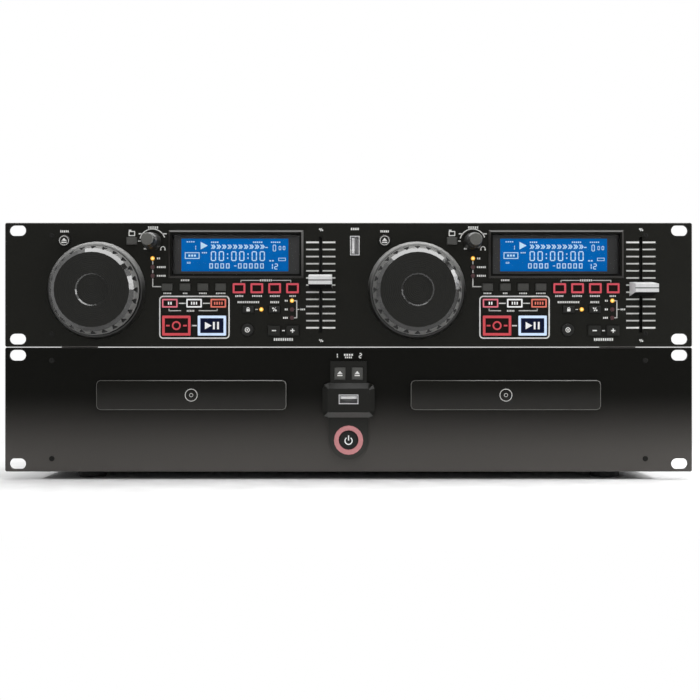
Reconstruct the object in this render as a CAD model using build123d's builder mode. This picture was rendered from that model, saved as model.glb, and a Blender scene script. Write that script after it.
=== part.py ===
from build123d import *
import os
from itertools import pairwise
from math import atan2, cos, degrees, pi, radians, sin, tan

# Dual CD player for DJs: a controller with two equal decks stands on a player with two disc
# drives, both behind panels for a 19-inch rack. Millimetres; X to the right seen from the front,
# Y to the back, Z up. The origin is on the floor under the middle of the pair.

# ---- Sizes that both units share ---------------------------------------------------------------

panel_width = 482.6
panel_height = 87.2
drawn_height = 87.2             # panel height that the heights below are given for
panel_thickness = 3.0
panel_corner = 1.2
panel_edge = 0.4
slot_spacing_x = 465.1
slot_margin = 11.0              # panel height beyond the slots' spacing
slot_length = 12.0
slot_width = 7.5
floor_gap = 5.5                 # under the player's panel
unit_gap = 0.4                  # between the two panels
body_width = 436.0
sheet = 1.2                     # steel sheet of the chassis, the cover and the case
fit = 0.25                      # round a key or a lamp in its hole
bearing_fit = 0.05              # round a turning shaft
seat_fit = 0.1                  # round a fixed piece in its seat

# Sides of round pieces: few, because the panels hold so many of them
jog_sides = 36
round_sides = 20
key_sides = 12
small_sides = 8
lamp_sides = 6
corner_sides = 2                # of each round corner

# ---- Controller: places on a deck, from the deck's middle line and the panel's middle ----------

deck_pitch = 224.8
jog_x, jog_z = -64.6, -4.1
eject_x, eject_z = -87.1, 31.0
folder_x, folder_z = -39.8, 30.7
track_x, track_z = -25.3, 30.2
source_lamp_x = -25.1
source_lamp_z = (18.5, 12.4, 6.3)
display_x, display_z = 33.3, 21.5
menu_x, menu_z, menu_pitch, menu_count = 3.85, -1.7, 12.5, 4
effect_x, effect_z, effect_pitch, effect_count = 54.35, -2.5, 12.5, 4
loop_x, loop_z, loop_pitch = 4.1, -13.0, 17.0
transport_x, transport_z, transport_pitch = 4.15, -28.7, 24.9
key_lock_x, key_lock_z = 42.0, -17.3
key_lock_lamp_x = 51.2
pitch_range_x = 60.4
pitch_lamp_x = 72.7
pitch_lamp_z = (-11.2, -17.3, -23.2)
tap_x, tap_z = 41.4, -31.7
bend_x, bend_z, bend_pitch = 66.6, -32.2, 13.0
fader_x = 92.8
fader_rest = {"left": 2.3, "right": -3.1}
usb_x, usb_z = 4.4, 27.5        # from the panel's own middle

# Keys: width and height of the caps
folder_key = (7.1, 5.0)
menu_key = (7.5, 5.0)
effect_key = (9.5, 7.6)
loop_key = (11.5, 6.7)
transport_key = (20.5, 14.6)
key_lock_key = (8.1, 4.9)
bend_key = (8.9, 7.0)
eject_r = 4.2
tap_r = 4.4
key_reach = 1.5                 # caps, in front of the panel
key_edge = 0.4
key_travel = 0.8
flange_rim = 1.0
flange_gap = 0.3                # behind the panel, so that the flange stops the key
flange_thickness = 1.2
switch_gap = 0.1                # left under a pressed key
switch_width = 6.0

# Menu keys hang on the spring arms of one moulded strip
strip_height = 2.2
strip_thickness = 1.5
strip_overhang = 4.0
strip_arm_width = 2.0
strip_arm_thickness = 0.8
strip_gap = 0.7                 # between the key flanges and the strip's bar

# Board behind the panel
board_gap = 12.0                # panel face to board
board_thickness = 1.6
board_width = 424.0
board_margin = 5.6              # board edge inside the panel's edge
standoff_width = 5.0
standoff_outer_x = 213.4
standoff_middle_x = -5.0
standoff_margin = 5.0           # from the board's edge

lamp_r = 1.5
lamp_reach = 0.8

# Display: bezel, clear window, LCD module
bezel_width, bezel_height = 94.8, 33.7
bezel_reach = 1.8
bezel_slope = 1.4
bezel_skirt = 1.9               # outer bezel rim beyond the skirt
window_width, window_height = 89.3, 28.0
window_thickness = 1.5
window_depth = 2.0              # window face behind the panel's face
lcd_width, lcd_height = 93.0, 32.0

# Jog wheel, turned about its shaft: radii, and heights in front of the panel's face
jog_ring_r = 34.5
jog_ring_inner_r = 31.75
jog_ring_top_r = 32.8
jog_ring_height = 4.2
jog_seat_r = 33.0
jog_floor = 0.4                 # face of the dish inside the ring
jog_floor_thickness = 1.4
jog_bearing_r = 6.0
jog_bearing_depth = 11.0
shaft_r = 3.0                   # also of the track knob
jog_r = 31.3
jog_gap = 0.5                   # under the wheel
jog_side_height = 7.0
jog_shoulder_r = 28.8
jog_shoulder_height = 13.2
jog_top_r = 26.0
jog_height = 16.0
jog_pad_r = 11.4
jog_pad_bevel = 0.9
jog_pad_slope = 45
dimple_count = 24
dimple_circle_r = 30.2
dimple_r = 2.0
dimple_floor = 8.6
dimple_sides = 4

# Track knob on its encoder
knob_reach = 22.0
knob_base_r = 6.6
knob_waist_r = 5.4
knob_waist_height = 13.0
knob_cap_r = 4.4
knob_cap_height = 14.5
knob_gap = 0.6                  # under the knob
encoder_width = 12.0
encoder_height = 6.5
encoder_bush_r = 4.5
encoder_bush_reach = 0.2
encoder_depth = 6.0             # end of the bore behind the face

# Pitch fader
fader_travel = 60.0
fader_cap_width, fader_cap_height = 16.1, 9.9
fader_cap_top_height = 5.8
fader_cap_reach = 17.5
fader_cap_gap = 0.6             # under the cap
fader_line = 0.7
fader_line_depth = 0.5
fader_lever_width, fader_lever_height = 1.4, 6.0
fader_slot_width = 2.2
fader_slot_end = 0.6            # slot beyond the lever at the end of its travel
fader_body_width = 9.0
fader_body_wall = 1.0
fader_body_depth = 7.0
fader_body_end = 1.5
fader_carriage_height = 9.0
fader_carriage_gap = 0.3

# USB sockets
usb_width, usb_height = 13.6, 6.6
usb_wall = 0.5
usb_tongue_width, usb_tongue_height = 11.1, 1.9
usb_tongue_offset = 1.2
usb_tongue_short = 1.4
usb_back = 1.5
controller_usb_reach = 0.3

# Controller case
case_margin = 1.2               # panel edge to case
case_depth = 62.0
case_tab = 9.0
pad_r = 9.0
pad_x, pad_front, pad_rear = 196.0, 14.0, 50.0

# ---- Player ------------------------------------------------------------------------------------

foot_height = 6.7
foot_r = 10.5
foot_edge = 1.0
foot_x, foot_front, foot_rear = 185.0, 24.0, 21.0   # from the panel's face, from the rear
chassis_depth = 233.0
chassis_rim = 8.0               # round the opening in the chassis front
cover_margin = 1.7              # cover top below the panel's top edge
cover_rim = 15.0
vent_count = 10
vent_pitch = 11.0
vent_length = 46.0
vent_width = 4.2
vent_x, vent_rear = 120.0, 40.0

# Disc trays and drives, from the drive's middle line; depths count from the panel's face
tray_x = 110.2
fascia_z = 10.2                 # from the panel's middle
fascia_width, fascia_height = 133.2, 20.9
fascia_corner = 2.8
fascia_thickness = 2.0
fascia_edge = 0.5
fascia_gap = 0.3
mouth_rim = 1.5                 # fascia beyond the mouth in the panel
tray_width = 128.0
tray_depth = 165.0
tray_thickness = 5.0
tray_rise = 2.6                 # tray above the mouth's lower edge, so that the rack clears it
disc_r = 60.5
disc_recess = 3.0
small_disc_r = 40.5
small_disc_recess = 0.8
disc_depth = 68.0
pickup_width = 38.0
pickup_end = 12.0
rack_x = -50.4                  # pitch line of the rack under the tray
rack_front, rack_length = 14.0, 144.0
gear_module = 1.92
gear_teeth = 10
pressure_angle = radians(20)
gear_depth = 21.0
gear_backlash = 1.0
gear_root_overlap = 0.7         # root corners over the flat feet of the teeth
gear_height = 2.2
gear_boss_r = 4.0
gear_pin_r = 2.0
gear_gap = 0.2                  # over and under the gear
rack_back = 3.0

drive_front, drive_rear = 8.0, 180.0
drive_wall = 3.0
drive_side_gap = 0.5            # between tray edge and drive wall
drive_floor = 2.5
drive_floor_gap = 4.9           # under the tray
guide_gap = 0.3
guide_width = 2.6
guide_thickness = 2.0
drive_wall_rise = 9.8           # walls above the tray
bridge_length = 34.0
bridge_thickness = 2.5
clamp_r = 14.0
clamp_gap = 5.8                 # clamp puck above the tray
turntable_r = 13.5
turntable_height = 1.8
turntable_gap = 0.6             # under the tray
motor_r = 12.0
motor_height = 9.0
spindle_r = 2.0
spindle_hole_r = 3.0
pickup_height = 3.4
pickup_length = 26.0
lens_r = 3.5
lens_height = 0.8
post_width = 7.0
post_x, post_front, post_rear = 55.0, 34.0, 150.0

# Control bezel in the middle of the player's panel; heights from the panel's middle
bezel_plate = 1.5
neck_width, neck_top = 25.5, 34.0
boss_z = 6.6
boss_width, boss_height = 36.6, 24.2
boss_corner = 4.0
boss_reach = 6.0
boss_bevel = 3.8
player_usb_z = 7.4
round_end_r = 13.55
power_z = -21.4
ring_r = 10.2
ring_inner_r = 7.0
ring_reach = 2.3
power_r = 6.7
power_reach = 2.0
tray_key_x, tray_key_z = 6.05, 25.3
tray_key = (7.7, 8.4)
tray_key_reach = 2.4
key_board_width, key_board_margin = 38.0, 10.6
key_board_post_x, key_board_post_margin = 15.5, 7.0

# Boards, power supply and rear sockets
board_rise = 6.0                # boards above the chassis floor
rear_board_width, rear_board_length = 400.0, 44.0
rear_board_gap = 1.0            # to the rear wall
rear_board_post_x, rear_board_post_y = 180.0, 15.0
supply_width, supply_length = 76.0, 120.0
supply_depth = 110.0
supply_post_x, supply_post_y = 33.0, 54.0
transformer_width, transformer_length, transformer_height = 50.0, 42.0, 38.0
transformer_depth = 86.0
capacitor_r, capacitor_height = 8.0, 25.0
capacitor_depth, capacitor_pitch = 132.0, 26.0
socket_height = 26.0            # middle of the rear sockets above the chassis floor
rca_r = 4.15
rca_hole_r = 1.6
rca_reach = 9.0
rca_pitch_x, rca_pitch_z = 18.0, 14.0
rca_x = -58.0
rca_columns = 3
rca_block_width = 14.0
rca_block_depth = 10.0
rca_block_rise = 3.0            # block above the upper barrels
rca_hole_depth = 8.0
din_r = 6.2
din_recess_r = 4.6
din_recess = 3.0
din_key_r = 2.6
din_reach = 2.0
din_x, din_pitch = 18.0, 26.0
din_block = 15.0
inlet_x = 176.0
inlet_width, inlet_height = 27.0, 19.6
inlet_inner_width, inlet_inner_height = 24.0, 16.6
inlet_flange = 2.5
inlet_reach = 2.0
inlet_depth = 20.0
inlet_floor = 3.0
inlet_pin_width, inlet_pin_height = 2.0, 4.0
inlet_pin_pitch = 14.0
inlet_pin_z, inlet_earth_z = -1.0, 4.0
inlet_pin_length = 13.0

# ---- Places worked out from the sizes ----------------------------------------------------------

rear_reach = panel_thickness + chassis_depth + rca_reach
face_y = (knob_reach - rear_reach) / 2          # the panels' front faces
player_z = floor_gap + panel_height / 2
controller_z = player_z + panel_height + unit_gap
spread = panel_height / drawn_height            # heights on the panels go with the panels
slot_spacing_z = panel_height - slot_margin
jog_level = controller_z + jog_z * spread
track_level = controller_z + track_z * spread
display_level = controller_z + display_z * spread
usb_level = controller_z + usb_z * spread
fascia_level = player_z + fascia_z * spread
boss_level = player_z + boss_z * spread
player_usb_level = player_z + player_usb_z * spread
power_level = player_z + power_z * spread
tray_key_level = player_z + tray_key_z * spread
deck_x = {"left": -deck_pitch / 2, "right": deck_pitch / 2}
drive_x = {"left": -tray_x, "right": tray_x}
flange_front = -panel_thickness - flange_gap
flange_back = flange_front - flange_thickness
switch_face = flange_back - key_travel - switch_gap
switch_height = switch_face + board_gap
board_height = panel_height - 2 * board_margin
standoff_middle_z = board_height / 2 - standoff_margin

chassis_bottom = foot_height
chassis_floor = chassis_bottom + sheet
cover_top = floor_gap + panel_height - cover_margin
chassis_top = cover_top - sheet
chassis_y = face_y + panel_thickness + chassis_depth / 2
chassis_rear = -panel_thickness - chassis_depth
case_bottom = controller_z - panel_height / 2 + case_margin
case_height = panel_height - 2 * case_margin
case_rear = -panel_thickness - case_depth

mouth_width = fascia_width - 2 * mouth_rim
mouth_height = fascia_height - 2 * mouth_rim
tray_bottom = fascia_level - mouth_height / 2 + tray_rise
tray_top = tray_bottom + tray_thickness
drive_base = tray_bottom - drive_floor_gap - drive_floor
drive_top = tray_top + drive_wall_rise
drive_inner = tray_width / 2 + drive_side_gap


def front(height):
    """The upright plane at this height in front of the panels' face; extrusions come forwards."""
    return Plane.XZ.offset(height - face_y)


def level(z):
    return Plane.XY.offset(z)


def depth(distance):
    """Y at this distance behind the panels' face."""
    return face_y + distance


def stack(x, z, sides, *levels):
    """A many-sided piece square to the panels, through levels (radius, height) that may step."""
    with BuildPart() as piece:
        for (radius, height), (next_radius, next_height) in pairwise(levels):
            if next_height == height:
                continue
            inset = (radius - next_radius) * cos(pi / sides)
            with BuildSketch(front(height)):
                with Locations((x, z)):
                    RegularPolygon(radius, sides)
            extrude(amount=next_height - height, taper=degrees(atan2(inset, next_height - height)))
    return piece.part


def rounded(width, height, radius):
    """The corners of a rectangle whose rounded corners have a few sides each."""
    points = []
    for quarter, (x, z) in enumerate(((1, 1), (-1, 1), (-1, -1), (1, -1))):
        for step in range(corner_sides + 1):
            angle = (quarter + step / corner_sides) * pi / 2
            points.append((x * (width / 2 - radius) + radius * cos(angle),
                           z * (height / 2 - radius) + radius * sin(angle)))
    return points


def save(piece, name):
    piece.label = name
    export_step(piece, f"parts/{name}.step")


def save_group(pieces, name):
    """Separate solids that share one node."""
    solids = [solid for piece in pieces for solid in piece.solids()]
    save(Compound(label=name, children=solids), name)


def square_key(x, z, size, reach):
    """A cap through its hole, with a flange behind the panel that stops it."""
    width, height = size
    with BuildPart() as key:
        with BuildSketch(front(flange_front)):
            with Locations((x, z)):
                Rectangle(width, height)
        extrude(amount=reach - flange_front)
        chamfer(key.faces().sort_by(Axis.Y)[0].edges(), key_edge)
        with BuildSketch(front(flange_front)):
            with Locations((x, z)):
                Rectangle(width + 2 * flange_rim, height + 2 * flange_rim)
        extrude(amount=-flange_thickness)
    return key.part


def round_key(x, z, radius, reach):
    return stack(x, z, key_sides,
                 (radius + flange_rim, flange_back), (radius + flange_rim, flange_front),
                 (radius, flange_front), (radius, reach - key_edge), (radius - key_edge, reach))


def row(middle, pitch, count):
    """Places along X with an even pitch about a middle."""
    return [middle + (step - (count - 1) / 2) * pitch for step in range(count)]


# ---- The keys of one deck ----------------------------------------------------------------------

square_keys = {"folder_button": (folder_x, folder_z, folder_key)}
for number, key_x in enumerate(row(effect_x, effect_pitch, effect_count), start=1):
    square_keys[f"effect_button_{number}"] = (key_x, effect_z, effect_key)
loop_names = ("loop_in_button", "loop_out_button", "reloop_button")
for name, key_x in zip(loop_names, row(loop_x, loop_pitch, len(loop_names))):
    square_keys[name] = (key_x, loop_z, loop_key)
transport_names = ("cue_button", "play_button")
for name, key_x in zip(transport_names, row(transport_x, transport_pitch, len(transport_names))):
    square_keys[name] = (key_x, transport_z, transport_key)
square_keys["key_lock_button"] = (key_lock_x, key_lock_z, key_lock_key)
square_keys["pitch_range_button"] = (pitch_range_x, key_lock_z, key_lock_key)
bend_names = ("pitch_bend_down_button", "pitch_bend_up_button")
for name, key_x in zip(bend_names, row(bend_x, bend_pitch, len(bend_names))):
    square_keys[name] = (key_x, bend_z, bend_key)
square_keys = {name: (x, z * spread, size) for name, (x, z, size) in square_keys.items()}
menu_keys = [(key_x, menu_z * spread) for key_x in row(menu_x, menu_pitch, menu_count)]
round_keys = {"eject_button": (eject_x, eject_z * spread, eject_r),
              "tap_button": (tap_x, tap_z * spread, tap_r)}
switch_rows = [(menu_x, menu_z, (menu_count - 1) * menu_pitch),
               (effect_x, effect_z, (effect_count - 1) * effect_pitch),
               (loop_x, loop_z, (len(loop_names) - 1) * loop_pitch),
               (transport_x, transport_z, transport_pitch), (bend_x, bend_z, bend_pitch),
               (folder_x, folder_z, 0), (key_lock_x, key_lock_z, 0),
               (pitch_range_x, key_lock_z, 0), (eject_x, eject_z, 0), (tap_x, tap_z, 0)]
lamps = [(source_lamp_x, z * spread) for z in source_lamp_z]
lamps += [(key_lock_lamp_x, key_lock_z * spread)]
lamps += [(pitch_lamp_x, z * spread) for z in pitch_lamp_z]

os.makedirs("parts", exist_ok=True)

# ---- Controller front panel --------------------------------------------------------------------

fader_slot_length = fader_travel + fader_lever_height + 2 * fader_slot_end

with BuildPart() as controller_front_panel:
    with BuildSketch(front(0)):
        with Locations((0, controller_z)):
            Polygon(*rounded(panel_width, panel_height, panel_corner), align=None)
    extrude(amount=-panel_thickness)
    chamfer(controller_front_panel.faces().sort_by(Axis.Y)[0].edges(), panel_edge)
    with BuildSketch(front(0)):
        with Locations((0, controller_z)):
            with GridLocations(slot_spacing_x, slot_spacing_z, 2, 2):
                SlotOverall(slot_length, slot_width)
        with Locations((usb_x, usb_level)):
            Rectangle(usb_height + 2 * seat_fit, usb_width + 2 * seat_fit)
        for middle in deck_x.values():
            for x, z, size in square_keys.values():
                with Locations((middle + x, controller_z + z)):
                    Rectangle(size[0] + 2 * fit, size[1] + 2 * fit)
            for x, z in menu_keys:
                with Locations((middle + x, controller_z + z)):
                    Rectangle(menu_key[0] + 2 * fit, menu_key[1] + 2 * fit)
            for x, z, radius in round_keys.values():
                with Locations((middle + x, controller_z + z)):
                    RegularPolygon(radius + fit, key_sides)
            for x, z in lamps:
                with Locations((middle + x, controller_z + z)):
                    RegularPolygon(lamp_r + seat_fit, lamp_sides)
            with Locations((middle + jog_x, jog_level)):
                RegularPolygon(jog_seat_r + seat_fit, key_sides)
            with Locations((middle + track_x, track_level)):
                RegularPolygon(encoder_bush_r + seat_fit, small_sides)
            with Locations((middle + display_x, display_level)):
                Rectangle(bezel_width - 2 * bezel_skirt, bezel_height - 2 * bezel_skirt)
            with Locations((middle + fader_x, controller_z)):
                Rectangle(fader_slot_width, fader_slot_length)
    extrude(amount=-panel_thickness, mode=Mode.SUBTRACT)
save(controller_front_panel.part, "controller_front_panel")

# ---- Jog bezels and display bezels, fixed on the panel -----------------------------------------

bezels = []
skirt_width = bezel_width - 2 * bezel_skirt - 2 * seat_fit
skirt_height = bezel_height - 2 * bezel_skirt - 2 * seat_fit
window_back = -window_depth - window_thickness
for middle in deck_x.values():
    x = middle + jog_x
    with BuildPart() as jog_bezel:
        add(stack(x, jog_level, jog_sides, (jog_ring_r, 0), (jog_ring_r, jog_floor),
                  (jog_ring_top_r, jog_ring_height)))
        add(stack(x, jog_level, jog_sides, (jog_ring_inner_r, jog_floor),
                  (jog_ring_inner_r, jog_ring_height)), mode=Mode.SUBTRACT)
        add(stack(x, jog_level, key_sides, (jog_seat_r, jog_floor - jog_floor_thickness),
                  (jog_seat_r, 0)))
        add(stack(x, jog_level, small_sides, (jog_bearing_r, -jog_bearing_depth), (jog_bearing_r, 0)))
        with BuildSketch(front(jog_floor)):
            with Locations((x, jog_level)):
                RegularPolygon(shaft_r + bearing_fit, small_sides, major_radius=False)
        extrude(amount=-jog_bearing_depth - jog_floor, mode=Mode.SUBTRACT)
    bezels.append(jog_bezel.part)
    with BuildPart() as display_bezel:
        with BuildSketch(front(0)):
            with Locations((middle + display_x, display_level)):
                Rectangle(bezel_width, bezel_height)
        extrude(amount=bezel_reach)
        chamfer(display_bezel.faces().sort_by(Axis.Y)[0].edges(), bezel_slope)
        with BuildSketch(front(0)):
            with Locations((middle + display_x, display_level)):
                Rectangle(skirt_width, skirt_height)
        extrude(amount=window_back)
        with BuildSketch(front(bezel_reach)):
            with Locations((middle + display_x, display_level)):
                Rectangle(window_width, window_height)
        extrude(amount=window_back - bezel_reach, mode=Mode.SUBTRACT)
    bezels.append(display_bezel.part)
save_group(bezels, "panel_bezels")

with BuildPart() as display_windows:
    with BuildSketch(front(-window_depth)):
        for middle in deck_x.values():
            with Locations((middle + display_x, display_level)):
                Rectangle(window_width - 2 * seat_fit, window_height - 2 * seat_fit)
    extrude(amount=-window_thickness)
save(display_windows.part, "display_windows")

# ---- Jog wheels --------------------------------------------------------------------------------

jog_bottom = jog_floor + jog_gap
for side, middle in deck_x.items():
    x = middle + jog_x
    with BuildPart() as jog_wheel:
        add(stack(x, jog_level, jog_sides, (jog_r, jog_bottom), (jog_r, jog_side_height),
                  (jog_shoulder_r, jog_shoulder_height), (jog_top_r, jog_height)))
        with BuildSketch(front(dimple_floor)):
            with Locations((x, jog_level)):
                with PolarLocations(dimple_circle_r, dimple_count):
                    RegularPolygon(dimple_r, dimple_sides)
        extrude(amount=jog_height - dimple_floor, mode=Mode.SUBTRACT)
        with BuildSketch(front(jog_height)):
            with Locations((x, jog_level)):
                RegularPolygon(jog_pad_r, round_sides)
        extrude(amount=-jog_pad_bevel, taper=jog_pad_slope, mode=Mode.SUBTRACT)
        with BuildSketch(front(jog_bottom)):
            with Locations((x, jog_level)):
                RegularPolygon(shaft_r, key_sides)
        extrude(amount=-jog_bottom - jog_bearing_depth)
    save(jog_wheel.part, f"{side}_jog_wheel")

# ---- Track knobs -------------------------------------------------------------------------------

knob_bottom = encoder_bush_reach + knob_gap
for side, middle in deck_x.items():
    x = middle + track_x
    with BuildPart() as track_knob:
        add(stack(x, track_level, key_sides, (knob_base_r, knob_bottom),
                  (knob_waist_r, knob_waist_height), (knob_cap_r, knob_cap_height),
                  (knob_cap_r, knob_reach - key_edge), (knob_cap_r - key_edge, knob_reach)))
        with BuildSketch(front(knob_bottom)):
            with Locations((x, track_level)):
                RegularPolygon(shaft_r, key_sides)
        extrude(amount=-knob_bottom - encoder_depth)
    save(track_knob.part, f"{side}_track_knob")

# ---- Pitch faders ------------------------------------------------------------------------------

fader_body_front = fader_body_depth - board_gap
carriage_front = fader_body_front - fader_body_wall - fader_carriage_gap
carriage_back = fader_body_wall + fader_carriage_gap - board_gap
for side, middle in deck_x.items():
    x = middle + fader_x
    z = controller_z + fader_rest[side]
    with BuildPart() as pitch_fader:
        with BuildSketch(Plane.YZ.offset(x)):
            Polygon((depth(-fader_cap_gap), z - fader_cap_height / 2),
                    (depth(-fader_cap_gap), z + fader_cap_height / 2),
                    (depth(-fader_cap_reach), z + fader_cap_top_height / 2),
                    (depth(-fader_cap_reach), z - fader_cap_top_height / 2), align=None)
        extrude(amount=fader_cap_width / 2, both=True)
        with BuildSketch(front(fader_cap_reach)):
            with Locations((x, z)):
                Rectangle(fader_cap_width, fader_line)
        extrude(amount=-fader_line_depth, mode=Mode.SUBTRACT)
        with BuildSketch(front(fader_cap_gap)):
            with Locations((x, z)):
                Rectangle(fader_lever_width, fader_lever_height)
        extrude(amount=carriage_front - fader_cap_gap)
        with BuildSketch(front(carriage_front)):
            with Locations((x, z)):
                Rectangle(fader_body_width - 2 * fader_body_wall - 2 * fader_carriage_gap,
                          fader_carriage_height)
        extrude(amount=carriage_back - carriage_front)
    save(pitch_fader.part, f"{side}_pitch_fader")

# ---- Keys --------------------------------------------------------------------------------------

for side, middle in deck_x.items():
    for name, (x, z, size) in square_keys.items():
        save(square_key(middle + x, controller_z + z, size, key_reach), f"{side}_{name}")
    for name, (x, z, radius) in round_keys.items():
        save(round_key(middle + x, controller_z + z, radius, key_reach), f"{side}_{name}")

strips = []
strip_top = menu_z * spread - menu_key[1] / 2 - flange_rim - strip_gap
for middle in deck_x.values():
    with BuildPart() as strip:
        with BuildSketch(front(-panel_thickness)):
            with Locations((middle + menu_x, controller_z + strip_top - strip_height / 2)):
                Rectangle((menu_count - 1) * menu_pitch + menu_key[0] + strip_overhang, strip_height)
        extrude(amount=-strip_thickness)
        with BuildSketch(front(flange_front)):
            for x, z in menu_keys:
                with Locations((middle + x, controller_z + strip_top)):
                    Rectangle(strip_arm_width, 2 * strip_gap + flange_rim)
        extrude(amount=-strip_arm_thickness)
        with BuildSketch(front(flange_front)):
            for x, z in menu_keys:
                with Locations((middle + x, controller_z + z)):
                    Rectangle(menu_key[0] + 2 * flange_rim, menu_key[1] + 2 * flange_rim)
        extrude(amount=-flange_thickness)
        with BuildSketch(front(flange_front)):
            for x, z in menu_keys:
                with Locations((middle + x, controller_z + z)):
                    Rectangle(*menu_key)
        extrude(amount=key_reach - flange_front)
        chamfer(strip.faces().group_by(Axis.Y)[0].edges(), key_edge)
    strips.append(strip.part)
save_group(strips, "menu_key_strips")

# ---- Lamps -------------------------------------------------------------------------------------

lights = []
for middle in deck_x.values():
    for x, z in lamps:
        lights.append(stack(middle + x, controller_z + z, lamp_sides,
                            (lamp_r, -board_gap), (lamp_r, lamp_reach)))
save_group(lights, "indicator_lamps")

# ---- Controller board with switches, encoders, fader bodies, LCD modules and control sockets ---

electronics = []
lcd_front = window_back
with BuildPart() as controller_board:
    with BuildSketch(front(-board_gap)):
        with Locations((0, controller_z)):
            Rectangle(board_width, board_height)
    extrude(amount=-board_thickness)
    with BuildSketch(front(-board_gap)):
        with Locations((-standoff_outer_x, controller_z), (standoff_outer_x, controller_z),
                       (standoff_middle_x, controller_z - standoff_middle_z),
                       (standoff_middle_x, controller_z + standoff_middle_z)):
            Rectangle(standoff_width, standoff_width)
    extrude(amount=board_gap - panel_thickness)
    with BuildSketch(front(-board_gap)):
        for middle in deck_x.values():
            for x, z, length in switch_rows:
                with Locations((middle + x, controller_z + z * spread)):
                    Rectangle(length + switch_width, switch_width)
    extrude(amount=switch_height)
electronics.append(controller_board.part)
for middle in deck_x.values():
    with BuildPart() as encoder:
        with BuildSketch(front(-board_gap)):
            with Locations((middle + track_x, track_level)):
                Rectangle(encoder_width, encoder_width)
        extrude(amount=encoder_height)
        with BuildSketch(front(-board_gap)):
            with Locations((middle + track_x, track_level)):
                RegularPolygon(encoder_bush_r, small_sides)
        extrude(amount=board_gap + encoder_bush_reach)
        with BuildSketch(front(encoder_bush_reach)):
            with Locations((middle + track_x, track_level)):
                RegularPolygon(shaft_r + bearing_fit, small_sides, major_radius=False)
        extrude(amount=-encoder_bush_reach - encoder_depth - flange_gap, mode=Mode.SUBTRACT)
    electronics.append(encoder.part)
    with BuildPart() as fader_body:
        with BuildSketch(front(-board_gap)):
            with Locations((middle + fader_x, controller_z)):
                Rectangle(fader_body_width, fader_travel + fader_carriage_height + 2 * fader_body_end)
        extrude(amount=fader_body_depth)
        with BuildSketch(front(fader_body_front - fader_body_wall)):
            with Locations((middle + fader_x, controller_z)):
                Rectangle(fader_body_width - 2 * fader_body_wall,
                          fader_travel + fader_carriage_height + 2 * fader_slot_end)
        extrude(amount=2 * fader_body_wall - fader_body_depth, mode=Mode.SUBTRACT)
        with BuildSketch(front(fader_body_front)):
            with Locations((middle + fader_x, controller_z)):
                Rectangle(fader_slot_width, fader_slot_length)
        extrude(amount=-2 * fader_body_wall, mode=Mode.SUBTRACT)
    electronics.append(fader_body.part)
    with BuildPart() as lcd_module:
        with BuildSketch(front(lcd_front)):
            with Locations((middle + display_x, display_level)):
                Rectangle(lcd_width, lcd_height)
        extrude(amount=-board_gap - lcd_front)
    electronics.append(lcd_module.part)


def round_socket(x, z, wall_height):
    """A round control socket through a rear wall, whose outer face is at this height."""
    with BuildPart() as socket:
        with BuildSketch(front(wall_height + sheet)):
            with Locations((x, z)):
                Rectangle(din_block, din_block)
        extrude(amount=din_block)
        with BuildSketch(front(wall_height + sheet)):
            with Locations((x, z)):
                RegularPolygon(din_r, key_sides)
        extrude(amount=-sheet - din_reach)
        with BuildSketch(front(wall_height - din_reach)):
            with Locations((x, z)):
                RegularPolygon(din_recess_r, small_sides)
                RegularPolygon(din_key_r, small_sides, mode=Mode.SUBTRACT)
        extrude(amount=din_recess, mode=Mode.SUBTRACT)
    return socket.part


din_places = row(din_x, din_pitch, 2)
for x in din_places:
    electronics.append(round_socket(x, controller_z, case_rear))
save_group(electronics, "controller_board")

# ---- Controller rear case ----------------------------------------------------------------------

case_y = face_y + panel_thickness + case_depth / 2
with BuildPart() as controller_rear_case:
    with BuildSketch(level(case_bottom)):
        with Locations((0, case_y)):
            Rectangle(body_width, case_depth)
    extrude(amount=case_height)
    with BuildSketch(front(-panel_thickness)):
        with Locations((0, controller_z)):
            Rectangle(body_width - 2 * sheet, case_height - 2 * sheet)
            with GridLocations(body_width - 2 * sheet, case_height - 2 * sheet, 2, 2):
                Rectangle(2 * case_tab, 2 * case_tab, mode=Mode.SUBTRACT)
    extrude(amount=-sheet, mode=Mode.SUBTRACT)
    with BuildSketch(front(-panel_thickness - sheet)):
        with Locations((0, controller_z)):
            Rectangle(body_width - 2 * sheet, case_height - 2 * sheet)
    extrude(amount=2 * sheet - case_depth, mode=Mode.SUBTRACT)
    with BuildSketch(front(case_rear)):
        with Locations(*[(x, controller_z) for x in din_places]):
            RegularPolygon(din_r + seat_fit, key_sides)
    extrude(amount=sheet, mode=Mode.SUBTRACT)
save(controller_rear_case.part, "controller_rear_case")

# ---- Player front panel ------------------------------------------------------------------------

with BuildPart() as player_front_panel:
    with BuildSketch(front(0)):
        with Locations((0, player_z)):
            Polygon(*rounded(panel_width, panel_height, panel_corner), align=None)
    extrude(amount=-panel_thickness)
    chamfer(player_front_panel.faces().sort_by(Axis.Y)[0].edges(), panel_edge)
    with BuildSketch(front(0)):
        with Locations((0, player_z)):
            with GridLocations(slot_spacing_x, slot_spacing_z, 2, 2):
                SlotOverall(slot_length, slot_width)
        for x in drive_x.values():
            with Locations((x, fascia_level)):
                Rectangle(mouth_width, mouth_height)
        for x in (-tray_key_x, tray_key_x):
            with Locations((x, tray_key_level)):
                Rectangle(tray_key[0] + 2 * fit, tray_key[1] + 2 * fit)
        with Locations((0, player_usb_level)):
            Rectangle(usb_width + 2 * seat_fit, usb_height + 2 * seat_fit)
        with Locations((0, power_level)):
            RegularPolygon(ring_r + seat_fit, round_sides)
    extrude(amount=-panel_thickness, mode=Mode.SUBTRACT)
save(player_front_panel.part, "player_front_panel")

# ---- Control bezel -----------------------------------------------------------------------------

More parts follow.
